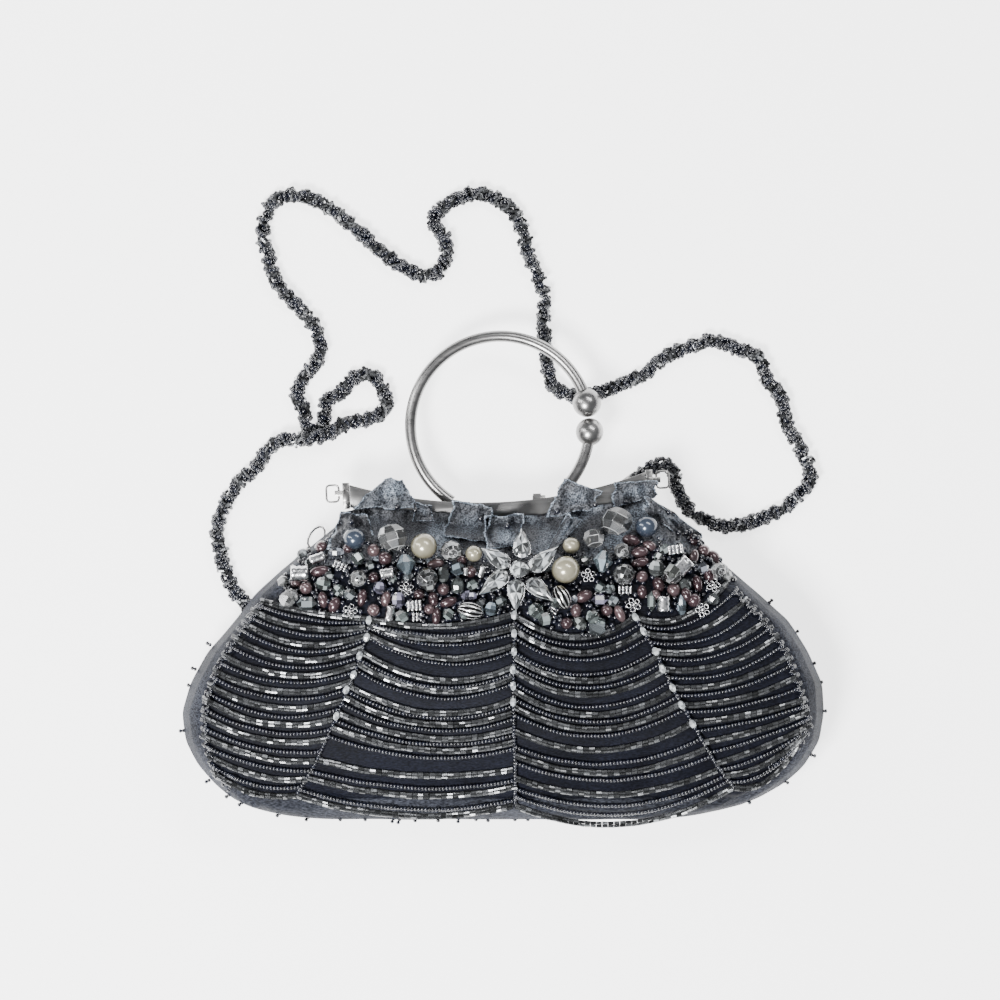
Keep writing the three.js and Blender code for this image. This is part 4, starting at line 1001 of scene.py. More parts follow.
STONES = (  # a stone without rings is a double cone
    {"name": "crystal_large_left", "sides": 8, "rings": 5, "finish": CLEAR, "turn": (80, 20, 15)},
    {"name": "crystal_large_right", "sides": 8, "rings": 5, "finish": CLEAR, "turn": (75, -15, -25)},
    {"name": "crystal_round_left", "sides": 10, "rings": 7, "finish": CLEAR, "turn": (20, 10, 0)},
    {"name": "crystal_round_right", "sides": 7, "rings": 4, "finish": CLEAR, "turn": (65, 30, 0)},
    {"name": "crystal_outer_left", "sides": 10, "rings": 6, "finish": CLEAR, "turn": (10, 10, 0)},
    {"name": "crystal_outer_right", "sides": 10, "rings": 6, "finish": CLEAR, "turn": (15, 20, 0)},
    {"name": "crystal_far_left", "sides": 9, "rings": 6, "finish": CLEAR, "turn": (25, 10, 0)},
    {"name": "crystal_far_right", "sides": 9, "rings": 6, "finish": CLEAR, "turn": (15, 25, 0)},
    {"name": "crystal_smoky_left", "sides": 12, "rings": 8, "finish": SMOKY, "turn": (30, 20, 0)},
    {"name": "crystal_smoky_right", "sides": 12, "rings": 8, "finish": SMOKY, "turn": (40, -20, 0)},
    {"name": "crystal_band_right", "sides": 8, "rings": 6, "finish": SMOKY, "turn": (80, 10, 40)},
    {"name": "crystal_pale_left", "sides": 8, "rings": 0, "finish": PALE_BLUE, "turn": (70, 30, 0)},
    {"name": "crystal_pale_right", "sides": 8, "rings": 0, "finish": PALE_BLUE, "turn": (75, -30, 0)},
)
for row in STONES:
    make_stone(row)
print("large stones done:", len(STONES))


# %% [markdown]
# The crystal flower is one round stone and six drops, each in a thin silver cup. A drop starts as a circle of
# points that is drawn out to a tip on one side. Extruding and insetting it gives the stone its pavilion, girdle
# and crown, and the cup its rim. The top face is cut into triangles that meet in its middle.

# %% Crystal flower
FLOWER_MIDDLE = (519.2, 571.6)
FLOWER_ROUND = 9.4
FLOWER_DROPS = (
    {"base": (521.5, 550), "tip": (521.5, 532)},
    {"base": (538, 566), "tip": (554, 551)},
    {"base": (535, 590), "tip": (549, 603)},
    {"base": (515.6, 593), "tip": (515.3, 613)},
    {"base": (499, 582), "tip": (483, 596)},
    {"base": (500.5, 562.5), "tip": (485, 552)},
)
DROP_WIDE = 8.8  # pixels, from the middle of a drop to its side
DROP_TALL = 3.4 * MM
DROP_POINTS = 18
STONE_SHARE = 0.74  # of a drop's half width, inside its cup
CUP_SHARE = 0.8
CUP_TALL = 0.9 * MM
FLOWER_DEPTH = 5.0 * MM
CUT_STEPS = (
    {"rise": 0.25, "inset": -0.32},
    {"rise": 0.12, "inset": 0.0},
    {"rise": 0.22, "inset": 0.2},
    {"rise": 0.12, "inset": 0.22},
)


def drop_outline(bm, middle, tip, reach, z):
    """A ring of points, round at its middle and drawn out to a tip."""
    way = Vector((tip[0] - middle[0], tip[1] - middle[1]))
    long = way.length / reach
    turn = Matrix.Rotation(-math.atan2(way.y, way.x), 4, "Z")
    x, y = at_pixel(*middle)
    made = bmesh.ops.create_circle(bm, cap_ends=True, segments=DROP_POINTS, radius=1)
    for vertex in made["verts"]:
        if vertex.co.x > 0:
            share = vertex.co.x
            vertex.co.x = share * long
            vertex.co.y *= 1 - share ** 2.2 * 0.94 + 0.12 * share * (1 - share)
    size = Matrix.Diagonal((reach * PIXEL, reach * PIXEL, 1, 1))
    bmesh.ops.transform(bm, matrix=Matrix.Translation((x, y, z)) @ turn @ size, verts=made["verts"])
    return made["verts"][0].link_faces[0]


def raise_face(bm, face, height, inset=0.0):
    """Extrudes a face up, then draws it in by a share of its size; returns the new face."""
    made = bmesh.ops.extrude_discrete_faces(bm, faces=[face])["faces"][0]
    middle = made.calc_center_median()
    for vertex in made.verts:
        vertex.co = middle + (vertex.co - middle) * (1 - inset)
        vertex.co.z += height
    return made


def cut_on(bm, face, tall):
    """A faceted stone grown from its lower face: pavilion, girdle, crown and table."""
    for step in CUT_STEPS:
        face = raise_face(bm, face, tall * step["rise"], step["inset"])
    bmesh.ops.poke(bm, faces=[face])


def flower_parts():
    drops = [(row["base"], row["tip"]) for row in FLOWER_DROPS]
    rounds = (FLOWER_MIDDLE, (FLOWER_MIDDLE[0] + FLOWER_ROUND * 0.97, FLOWER_MIDDLE[1]))
    return drops + [rounds]


def lean_with_body(bm, name):
    """Leans a flat piece with the front, about its node's middle."""
    middle = middle_of(name)
    normal = normal_at(middle.x, middle.y)
    turn = Vector((0, 0, 1)).rotation_difference(normal).to_matrix().to_4x4()
    about = Matrix.Translation(middle) @ turn @ Matrix.Translation(-middle)
    bmesh.ops.transform(bm, matrix=about, verts=bm.verts)


def make_flower():
    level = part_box("crystal_flower")[1][2] - FLOWER_DEPTH
    stones = bmesh.new()
    cups = bmesh.new()
    for base, tip in flower_parts():
        reach = FLOWER_ROUND if base == FLOWER_MIDDLE else DROP_WIDE
        cut_on(stones, drop_outline(stones, base, tip, reach * STONE_SHARE, level), DROP_TALL)
        cup = drop_outline(cups, base, tip, reach * CUP_SHARE, level - CUP_TALL)
        raise_face(cups, raise_face(cups, cup, CUP_TALL, -0.25), CUP_TALL, -0.02)
    for bm in (stones, cups):
        lean_with_body(bm, "crystal_flower")
    stone = piece_from("flower_stones", stones, FOILED, smooth=False)
    shade_facets(stone.data)
    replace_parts(stone, "crystal_flower")
    piece_from("flower_cups", cups, SILVER, smooth=False)
    print("crystal flower done")


make_flower()

# %% [markdown]
# The two large silver ovals are fluted: a ball drawn out along its hole, whose corners are pulled in eleven
# times round it. The small bars are rows of short grooved rods.

# %% Silver ovals and bars
FLUTES = 11
FLUTE_DEPTH = 0.12
OVALS = (
    {"name": "oval_fluted_left", "long": 11.2 * MM, "wide": 7.4 * MM, "turn": -12},
    {"name": "oval_fluted_right", "long": 10.8 * MM, "wide": 7.6 * MM, "turn": 118},
)
BARS = (
    {"name": "bar_left", "turn": 5},
    {"name": "bar_right", "turn": 8},
)
BAR_RODS = 4
BAR_LONG = 3.6 * MM
BAR_WIDE = 6.6 * MM
ROD_STEPS = 9


def fluted_oval(bm, long, wide):
    bmesh.ops.create_uvsphere(bm, u_segments=FLUTES * 6, v_segments=18, radius=1)
    for vertex in bm.verts:
        angle = math.atan2(vertex.co.y, vertex.co.x)
        depth = FLUTE_DEPTH * math.hypot(vertex.co.x, vertex.co.y)
        pull = 1 - depth * (0.5 + 0.5 * math.cos(angle * FLUTES)) ** 2
        vertex.co.x *= pull
        vertex.co.y *= pull
    turn = Matrix.Rotation(math.pi / 2, 4, "Y")
    size = Matrix.Diagonal((long / 2, wide / 2, wide / 2, 1))
    bmesh.ops.transform(bm, matrix=size @ turn, verts=bm.verts)


def make_oval(name, long, wide, turn):
    bm = bmesh.new()
    fluted_oval(bm, long, wide)
    grooves = [0.5 + 0.5 * math.cos(math.atan2(v.co.y, -v.co.z) * FLUTES) for v in bm.verts]
    place = Matrix.Translation(middle_of(name)) @ Matrix.Rotation(math.radians(turn), 4, "Z")
    bmesh.ops.transform(bm, matrix=place, verts=bm.verts)
    oval = piece_from(name + "_bead", bm, FLUTED)
    groove = oval.data.attributes.new("groove", "FLOAT", "POINT")
    groove.data.foreach_set("value", grooves)
    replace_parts(oval, name)


def bulge(step):
    """A rod's thickness at a step along it, with three bulges."""
    return 0.8 + 0.2 * abs(math.cos(step / ROD_STEPS * math.pi * 3 + math.pi / 2))


def grooved_bar(bm, rods, long, wide):
    """Turned rods side by side along Y, about the origin."""
    reach = wide / rods * 0.46
    for i in range(rods):
        across = (i - (rods - 1) / 2) * wide / rods
        rod = bmesh.ops.create_circle(bm, cap_ends=True, segments=10, radius=reach * 0.8)
        bmesh.ops.translate(bm, verts=rod["verts"], vec=(across, 0, -long / 2))
        face = rod["verts"][0].link_faces[0]
        for step in range(1, ROD_STEPS + 1):
            face = raise_face(bm, face, long / ROD_STEPS, 1 - bulge(step) / bulge(step - 1))
    bmesh.ops.rotate(bm, verts=bm.verts, matrix=Matrix.Rotation(math.pi / 2, 3, "X"))


def make_bar(name, turn):
    bm = bmesh.new()
    grooved_bar(bm, BAR_RODS, BAR_LONG, BAR_WIDE)
    place = Matrix.Translation(middle_of(name)) @ Matrix.Rotation(math.radians(turn), 4, "Z")
    bmesh.ops.transform(bm, matrix=place, verts=bm.verts)
    piece = piece_from(name + "_rods", bm, SILVER)
    smooth_by_angle(piece, ROD_SMOOTH)
    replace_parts(piece, name)


for row in OVALS:
    make_oval(**row)
for row in BARS:
    make_bar(**row)
print("silver ovals and bars done")

# %% [markdown]
# Between the large stones lies a crowd of small beads, sewn on one by one. Each is listed with its place in
# the photo and its half sizes in pixels. It is seated on the satin, or higher where it would cut into beads
# that are there already, as the real ones pile up. The columns of each table are named above it; px and py are
# pixels of the photo, and turns are in degrees.

# %% Places of the small beads
# px, py, half width, half height, turn
MAUVE_BEADS = (
    (322.5, 547, 6.5, 6.5, 0), (321, 570.5, 10, 5.5, 10), (307.3, 587.3, 6.5, 6.5, 0), (324.5, 599, 5, 8.4, 10),
    (335.7, 604, 5.6, 8.4, -25), (363.3, 597, 4.8, 9, -12), (374.5, 550, 6.8, 6.8, 0), (386, 558, 7, 7, 0),
    (374.7, 576.7, 5.6, 5.6, 0), (387, 598, 5, 8, -15), (374.7, 609, 6.3, 6.3, 0), (436, 563.5, 9, 5, 15),
    (471, 571, 6, 6, 0), (444, 588.5, 6, 6, 0), (420, 593.5, 5.8, 5.8, 0), (434, 598.5, 5, 8, 8),
    (449, 601, 9, 5, 20), (437, 615.3, 4.6, 9, -5), (630.5, 540, 9, 6, -10), (648.7, 545.5, 7, 5, -20),
    (638.6, 552, 9, 6, 10), (639, 562, 9, 5, 15), (641, 576, 6, 6, 0), (641, 591, 5, 7, 10),
    (657.3, 583.7, 6, 8, 20), (672.4, 589.2, 6.8, 6.8, 0), (692.4, 599.4, 7, 7, 0), (696.3, 583.3, 5, 9, 10),
    (693, 557, 4.6, 8, -10), (693, 540.5, 6, 7, 0), (703, 550.5, 6.2, 6.2, 0), (713.2, 557.6, 6, 8, 30),
    (583, 595.3, 9, 6, 25), (575.3, 609.5, 5.6, 7, 0), (605.7, 609.5, 6, 6, 0), (618.7, 612.6, 5, 9, 25),
    (566, 622, 6, 6, 0), (349, 548, 5, 5, 0), (430, 608, 5.4, 5.4, 0), (654, 594, 5.4, 5.4, 0),
    (297, 582, 5.4, 5.4, 0), (685, 594, 5, 7.6, 20), (462, 560, 5, 5, 0), (708, 575, 5.4, 7, 15),
)
# px, py, half width, half height, tint
CRYSTAL_BEADS = (
    (289, 598.6, 8, 8, 0.95), (308.4, 602.7, 10, 8, 0.7), (324.6, 583, 7.5, 7, 0.3),
    (351, 593.7, 6.5, 6.5, 0.35), (381, 586.7, 6.5, 6.5, 0.5), (358.8, 558.4, 7, 7, 0.3),
    (303, 553.7, 5.6, 5.6, 0.9), (284, 581, 6, 6, 0.95), (337.6, 552, 8, 5.4, 0.4), (370.5, 565, 5, 5, 0.7),
    (399, 599, 6.6, 8, 0.5), (402.6, 615, 7, 7, 0.3), (444, 574, 6, 8, 0.1), (458, 568.3, 7.5, 7.5, 0.8),
    (458, 584.8, 6.5, 8, 0.2), (472.3, 584.4, 6, 6, 0.3), (469.6, 595, 8, 5.4, 0.5), (449, 613, 6, 6, 0.3),
    (491, 607.5, 7, 8, 0.8), (501, 600.5, 6, 6, 0.7), (536.2, 609.5, 8, 8, 0.3), (544.3, 617.7, 7, 7, 0.25),
    (584, 560.7, 5, 5, 0.65), (599.5, 587, 6, 6, 0.25), (609.2, 588, 5, 5, 0.7), (598.7, 598.7, 8, 6, 0.5),
    (579.5, 622.4, 7, 6, 0.65), (596.2, 626.3, 9, 9, 0.35), (592, 615.5, 7, 7, 0.3),
    (600.5, 620, 3.6, 3.6, 0.3), (655.5, 567.4, 8.5, 8.5, 0.1), (671, 572.4, 9, 10, 0.62),
    (683.4, 584.3, 6.5, 6.5, 0.1), (701.7, 567.4, 6, 6, 0.4), (718, 568.8, 8.5, 7, 0.9),
    (650.2, 600.3, 4.6, 10, 0.3), (680.5, 604.2, 5, 11, 0.8), (657, 556.5, 5, 5, 0.3),
    (409, 576, 5, 6, 0.35), (430, 585, 6, 6, 0.6), (466, 612, 6, 6, 0.3), (480, 604, 5, 5, 0.9),
    (556, 601, 6, 6, 0.25), (612, 600, 6, 6, 0.35), (573, 598, 5, 5, 0.4), (664, 549, 6, 6, 0.2),
    (340, 590, 6, 6, 0.3), (393, 578, 5, 5, 0.2), (712, 598, 6, 6, 0.9), (726, 575, 5.6, 5.6, 0.95),
    (312, 563, 6, 6, 0.7), (330, 575, 5, 5, 0.1),
)
# px, py
METAL_FLOWERS = ((351.4, 610), (587.5, 575), (632.4, 604), (711.5, 584.3), (407, 588), (701, 609))
# px, py, rods, turn
SILVER_BARS = (
    (624, 589, 4, 0), (552.5, 611, 3, 60), (415.4, 603.5, 4, 5), (418, 616, 3, 0), (341, 565.5, 4, -25),
)
# px, py, half length, half width, turn
SILVER_BARRELS = (
    (388, 573, 7, 6, 10), (391, 612.5, 8, 5, 80), (318.6, 558, 8, 5, 20), (482, 571.4, 6, 4, 70),
    (662, 603, 8, 7, 90), (681.8, 565.5, 9, 8, 45), (301, 573, 9, 8, 0), (466, 571, 4, 3, 90),
)
print("small beads listed:", len(MAUVE_BEADS) + len(CRYSTAL_BEADS))

# %% [markdown]
# Seating keeps a list of what is there: each bead as its middle and radius. A new bead starts on the satin
# and rises until it no longer cuts deep into a neighbour.

# %% Seating the small beads
seated_beads = []
TOUCH = 0.8  # how close two beads may come, a share of their radii together
MOST_LIFT = 4 * MM


def seat_bead(px, py, radius, sink=0.9):
    x, y = at_pixel(px, py)
    base = on_skin(x, y, radius * sink, 0.03)
    z = base.z
    for middle, other in seated_beads:
        reach = (radius + other) * TOUCH
        apart = math.hypot(x - middle.x, y - middle.y)
        if apart < reach:
            z = max(z, min(middle.z + math.sqrt(reach ** 2 - apart ** 2), base.z + MOST_LIFT))
    place = Vector((x, y, z))
    seated_beads.append((place, radius))
    return place


LARGE_STONES = [row["name"] for row in STONES] + [
    "pearl_cream_left", "pearl_cream_middle", "pearl_cream_small", "pearl_cream_right", "pearl_blue_left",
    "pearl_blue_right", "oval_fluted_left", "oval_fluted_right", "bar_left", "bar_right",
]
for name in LARGE_STONES:
    size = size_of(name)
    seated_beads.append((middle_of(name), min(size.x, size.y) / 2 * 0.9))


def flat_turn(degrees):
    return Euler((0, 0, math.radians(degrees))).to_quaternion()


def ball_pattern(name, across, rings, smooth):
    bm = bmesh.new()
    bmesh.ops.create_uvsphere(bm, u_segments=across, v_segments=rings, radius=1)
    bmesh.ops.rotate(bm, verts=bm.verts, matrix=Matrix.Rotation(math.pi / 2, 3, "Y"))
    bead = pattern(name, bm, smooth)
    if not smooth:
        shade_facets(bead.data)
    return bead


def make_mauve_beads():
    bead = ball_pattern("mauve_pattern", 20, 14, True)
    places = []
    for px, py, wide, tall, turn in MAUVE_BEADS:
        thin = min(wide, tall) * PIXEL
        at = seat_bead(px, py, thin)
        size = (wide * PIXEL, tall * PIXEL, thin)
        places.append(Place(at, size=size, turn=flat_turn(turn)))
    piece = joined("mauve_pearls", [bead_mesh("mauve", bead, places)], MAUVE)
    bpy.data.objects.remove(bead)
    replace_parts(piece, "bead_field_left", "bead_field_right")


def make_small_crystals():
    beads = [ball_pattern("cut_ball", 8, 6, False), ball_pattern("cut_bicone", 7, 3, False)]
    places = [[], []]
    for i, (px, py, wide, tall, tint) in enumerate(CRYSTAL_BEADS):
        thin = min(wide, tall) * PIXEL
        at = seat_bead(px, py, thin)
        turn = Euler((random.uniform(0, 3), random.uniform(-0.5, 0.5), random.uniform(0, 3)))
        if abs(wide - tall) > 1:
            turn = Euler((random.uniform(0, 3), 0, 0 if wide > tall else math.pi / 2))
            wide, tall = max(wide, tall), thin / PIXEL
        size = (wide * PIXEL * 1.05, tall * PIXEL * 1.05, thin)
        places[i % 2 if i % 4 else 0].append(Place(at, size=size, turn=turn.to_quaternion(), tint=tint))
    meshes = [bead_mesh("cut", bead, row) for bead, row in zip(beads, places)]
    joined("small_crystals", meshes, SMALL_CRYSTAL)
    for bead in beads:
        bpy.data.objects.remove(bead)


make_mauve_beads()
make_small_crystals()

# %% [markdown]
# The open metal flowers are five wire loops round a small dome. One loop is a thin ring, made by spinning a
# small circle, and the others are turned copies of it.

# %% Metal flowers, bars and barrels
WIRE = 0.24 * MM
WIRE_LOOP = 0.95 * MM
WIRE_LOOPS_OUT = 2.1 * MM
DOME = 0.85 * MM
FLOWER_REACH = 2.2 * MM
ROD_LONG = 3.4 * MM
ROD_WIDE = 1.5 * MM
ROD_PITCH = 1.55 * MM


def wire_ring(bm, radius, wire, place):
    """A round wire ring that lies flat."""
    start = Matrix.Translation(Vector((radius, 0, 0))) @ Matrix.Rotation(math.pi / 2, 4, "X")
    ring = bmesh.ops.create_circle(bm, segments=6, radius=wire, matrix=start)
    edges = list({e for v in ring["verts"] for e in v.link_edges})
    before = set(bm.verts) - set(ring["verts"])
    bmesh.ops.spin(
        bm, geom=ring["verts"] + edges, cent=(0, 0, 0), axis=(0, 0, 1), dvec=(0, 0, 0), angle=math.tau,
        steps=12, use_merge=True,
    )
    made = [v for v in bm.verts if v not in before]
    bmesh.ops.translate(bm, verts=made, vec=place)


def flower_pattern():
    bm = bmesh.new()
    for petal in range(5):
        turn = Matrix.Rotation(petal * math.tau / 5, 3, "Z")
        wire_ring(bm, WIRE_LOOP, WIRE, turn @ Vector((WIRE_LOOPS_OUT, 0, 0)))
    bmesh.ops.create_icosphere(bm, subdivisions=2, radius=DOME)
    bmesh.ops.recalc_face_normals(bm, faces=bm.faces)
    return pattern("metal_flower", bm)


def bar_pattern():
    bm = bmesh.new()
    grooved_bar(bm, 1, ROD_LONG, ROD_WIDE)
    bmesh.ops.recalc_face_normals(bm, faces=bm.faces)
    return pattern("rod", bm)


def barrel_pattern():
    """A silver barrel with beaded rims, its hole along X."""
    bm = bmesh.new()
    bmesh.ops.create_uvsphere(bm, u_segments=18, v_segments=10, radius=1)
    for vertex in bm.verts:
        z = vertex.co.z
        flat = math.hypot(vertex.co.x, vertex.co.y)
        if flat > 0.3:
            wish = 0.86 + 0.14 * abs(math.cos(z * math.pi * 1.5))
            grow = wish / flat
            vertex.co.x *= grow
            vertex.co.y *= grow
    bmesh.ops.rotate(bm, verts=bm.verts, matrix=Matrix.Rotation(math.pi / 2, 3, "Y"))
    return pattern("barrel", bm)


def make_silver():
    flower, rod, barrel = flower_pattern(), bar_pattern(), barrel_pattern()
    flowers = []
    for i, (px, py) in enumerate(METAL_FLOWERS):
        at = seat_bead(px, py, FLOWER_REACH, 1.2)
        lean = Vector((0, 0, 1)).rotation_difference(normal_at(at.x, at.y))
        flowers.append(Place(at, size=(1, 1, 1), turn=lean @ flat_turn(i * 23)))
    rods = []
    for px, py, count, turn in SILVER_BARS:
        at = seat_bead(px, py, 2 * MM)
        for k in range(count):
            shift = flat_turn(turn) @ Vector(((k - (count - 1) / 2) * ROD_PITCH, 0, 0))
            rods.append(Place(at + shift, size=(1, 1, 1), turn=flat_turn(turn)))
    barrels = []
    for px, py, long, wide, turn in SILVER_BARRELS:
        at = seat_bead(px, py, wide * PIXEL)
        size = (long * PIXEL, wide * PIXEL, wide * PIXEL)
        barrels.append(Place(at, size=size, turn=flat_turn(turn)))
    meshes = [bead_mesh(b.name, b, rows) for b, rows in ((flower, flowers), (rod, rods), (barrel, barrels))]
    joined("silver_beads", meshes, SILVER)
    for bead in (flower, rod, barrel):
        bpy.data.objects.remove(bead)


make_silver()

# %% [markdown]
# Under the crowd the satin is closed over with dark seed beads, two deep. They are scattered evenly: points
# are drawn at random and kept where no other lies too close.

# %% Dark seeds between the stones
FIELD_OUTLINE = (
    (278, 590), (296, 560), (330, 535), (400, 545), (500, 556), (600, 550), (690, 530), (722, 560), (735, 582),
    (700, 606), (640, 614), (630, 620), (600, 636), (560, 630), (514, 612), (440, 622), (370, 616), (310, 610),
)
FIELD_ACROSS = (276, 737)
FIELD_DOWN = (528, 638)
FILL_COUNT = 900
FILL_TRIES = 20000
FILL_APART = 3.1  # pixels


def inside(outline, px, py):
    within = False
    for (ax, ay), (bx, by) in zip(outline, outline[1:] + outline[:1]):
        if (ay > py) != (by > py) and px < ax + (py - ay) * (bx - ax) / (by - ay):
            within = not within
    return within


def fill_field():
    kept = []
    tries = 0
    while len(kept) < FILL_COUNT and tries < FILL_TRIES:
        tries += 1
        px, py = random.uniform(*FIELD_ACROSS), random.uniform(*FIELD_DOWN)
        if not inside(FIELD_OUTLINE, px, py):
            continue
        if any(abs(px - a) < FILL_APART and abs(py - b) < FILL_APART for a, b in kept):
            continue
        kept.append((px, py))
    places = []
    for px, py in kept:
        x, y = at_pixel(px, py)
        at = on_skin(x, y, random.uniform(0.5, 1.9) * MM, 0.03)
        turn = Euler([random.uniform(0, 3) for _ in range(3)]).to_quaternion()
        size = random.uniform(1.0, 1.35)
        places.append(Place(at, size=(size, size, size), turn=turn))
    joined("field_seeds", [bead_mesh("fill", SEED, places)], SEED_GLASS)


fill_field()

# %% [markdown]
# Each seam carries six or seven cut crystals like small lozenges, and a line of dark seeds runs under them to
# the bottom.

# %% Seam crystals
SEAM_STONES = {
    "seam_left": ((370, 619), (368, 636), (361, 654), (355, 673), (348, 688), (338, 714)),
    "seam_middle": ((514, 614), (514, 632), (514, 650), (513, 668), (513, 684), (513, 700)),
    "seam_right": ((634, 616), (642, 630), (654, 650), (661, 667), (671, 686), (680, 703), (691, 722)),
}
SEAM_STONE_LONG = 9.5  # pixels
SEAM_STONE_WIDE = 6.6
SEAM_STONE_LIFT = 1.6 * MM
SEAM_STEPS = 60
LEAST_SHADE = 0.72  # of a lozenge's facets


def lozenge_pattern():
    bm = bmesh.new()
    bmesh.ops.create_uvsphere(bm, u_segments=6, v_segments=4, radius=1)
    bmesh.ops.rotate(bm, verts=bm.verts, matrix=Matrix.Rotation(math.pi / 2, 3, "Y"))
    bead = pattern("lozenge", bm, smooth=False)
    shade_facets(bead.data, LEAST_SHADE)
    return bead


def make_seam(name, bead):
    points = SEAM_STONES[name]
    crystals = []
    line = []
    for i, (px, py) in enumerate(points):
        before, after = points[max(0, i - 1)], points[min(len(points) - 1, i + 1)]
        a, b = at_pixel(*before), at_pixel(*after)
        at = on_skin(*at_pixel(px, py), SEAM_STONE_WIDE / 2 * PIXEL + SEAM_STONE_LIFT, 0.03)
        way = Vector((b[0] - a[0], b[1] - a[1], 0))
        half = (SEAM_STONE_LONG / 2 * PIXEL, SEAM_STONE_WIDE / 2 * PIXEL, SEAM_STONE_WIDE / 2 * PIXEL)
        crystals.append(Place(at, way, half, random.uniform(0, 3)))
    for step in range(SEAM_STEPS + 1):
        at = on_skin(*at_pixel(*along_seam(name, step / SEAM_STEPS)), SEED_ACROSS * 0.6)
        if at:
            line.append(at)
    piece = joined(name + "_stones", [bead_mesh("lozenges", bead, crystals)], FOILED)
    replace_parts(piece, name + "_crystals")
    joined(name + "_seeds", [bead_mesh("line", SEED, seed_places(line))], SEED_GLASS)


lozenge = lozenge_pattern()
for name in SEAM_STONES:
    make_seam(name, lozenge)
bpy.data.objects.remove(lozenge)

# %% [markdown]
# Loops of seed beads edge the panel on both sides, and small picots of three seeds stand out from the bag's
# outline. Both are strings of seeds along short curves.

# %% Loops and picots
LOOP_STEP = 9  # pixels between two loops
LOOP_REACH = 6.5
LOOP_WIDE = 0.42  # half a loop's width, a share of the step
LOOP_POINTS = 8
LOOP_SCALE = 0.72  # the loops' seeds are smaller than the strands'
EDGE_LINES = (  # side is 1 where the bag's outside lies to the right of the line, and -1 to the left
    {"side": 1, "points": (
        (262, 600), (240, 625), (217, 664), (205, 695), (201, 735), (212, 772), (228, 790),
    )},
    {"side": -1, "points": (
        (735, 586), (768, 620), (790, 655), (806, 700), (811, 725), (800, 745), (770, 770),
    )},
)
PICOTS = (
    (207, 643), (188, 685), (180, 731), (206, 782), (239, 805), (277, 816), (306, 820), (365, 820), (415, 821),
    (438, 821), (458, 822), (476, 820), (488, 821), (515, 820), (528, 820), (624, 817), (714, 810), (750, 803),
    (788, 783), (815, 756), (826, 711), (822, 682), (815, 663), (798, 631), (772, 600), (392, 822), (398, 823),
    (636, 818), (645, 818), (655, 817), (226, 797), (192, 668), (340, 820), (548, 819), (578, 818), (690, 813),
)
PICOT_LONG = 5.0  # pixels
PICOT_CENTRE = (503, 715)  # the pixel that the picots point away from
RIM_HEIGHT = 20 * MM


def side_loops(points, side):
    """Small drooping loops of seeds along one edge of the panel."""
    flat = [Vector((*at_pixel(*p), 0)) for p in points]
    places = []
    for at, way in walk(flat, LOOP_STEP * PIXEL):
        out = Vector((way.y, -way.x, 0)) * side
        line = []
        for k in range(LOOP_POINTS + 1):
            angle = math.pi * k / LOOP_POINTS
            reach = LOOP_REACH * PIXEL * random.uniform(0.85, 1.1)
            along = way * (math.cos(angle) * LOOP_STEP * LOOP_WIDE * PIXEL)
            spot = at + along - out * (math.sin(angle) * reach)
            line.append(on_skin(spot.x, spot.y, SEED_ACROSS * 0.6, RIM_HEIGHT))
        places += seed_places(line, LOOP_SCALE)
    return places


def picot_places():
    """A stalk of two seeds and a third on its end, standing out from the outline."""
    places = []
    centre = Vector((*at_pixel(*PICOT_CENTRE), 0))
    for px, py in PICOTS:
        tip = Vector((*at_pixel(px, py), 0))
        way = (tip - centre).normalized()
        out = Vector((way.x * 0.6, way.y * 1.4, 0)).normalized()
        base = tip - out * PICOT_LONG * PIXEL
        line = [Vector((p.x, p.y, RIM_HEIGHT)) for p in (base, tip)]
        places += seed_places(line, 0.9)
    return places


edging = []
for row in EDGE_LINES:
    edging += side_loops(row["points"], row["side"])
joined("edge_loops", [bead_mesh("loops", SEED, edging)], SEED_GLASS)
joined("rim_picots", [bead_mesh("picots", SEED, picot_places())], SEED_GLASS)


# %% [markdown]
# The strap is a rope of bead strands, twisted round one another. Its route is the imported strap's, point for
# point, and a smooth curve runs through it. Each strand winds round that curve at its own pace and distance,
# so the rope is lumpy, with tube beads sticking out at odd angles.

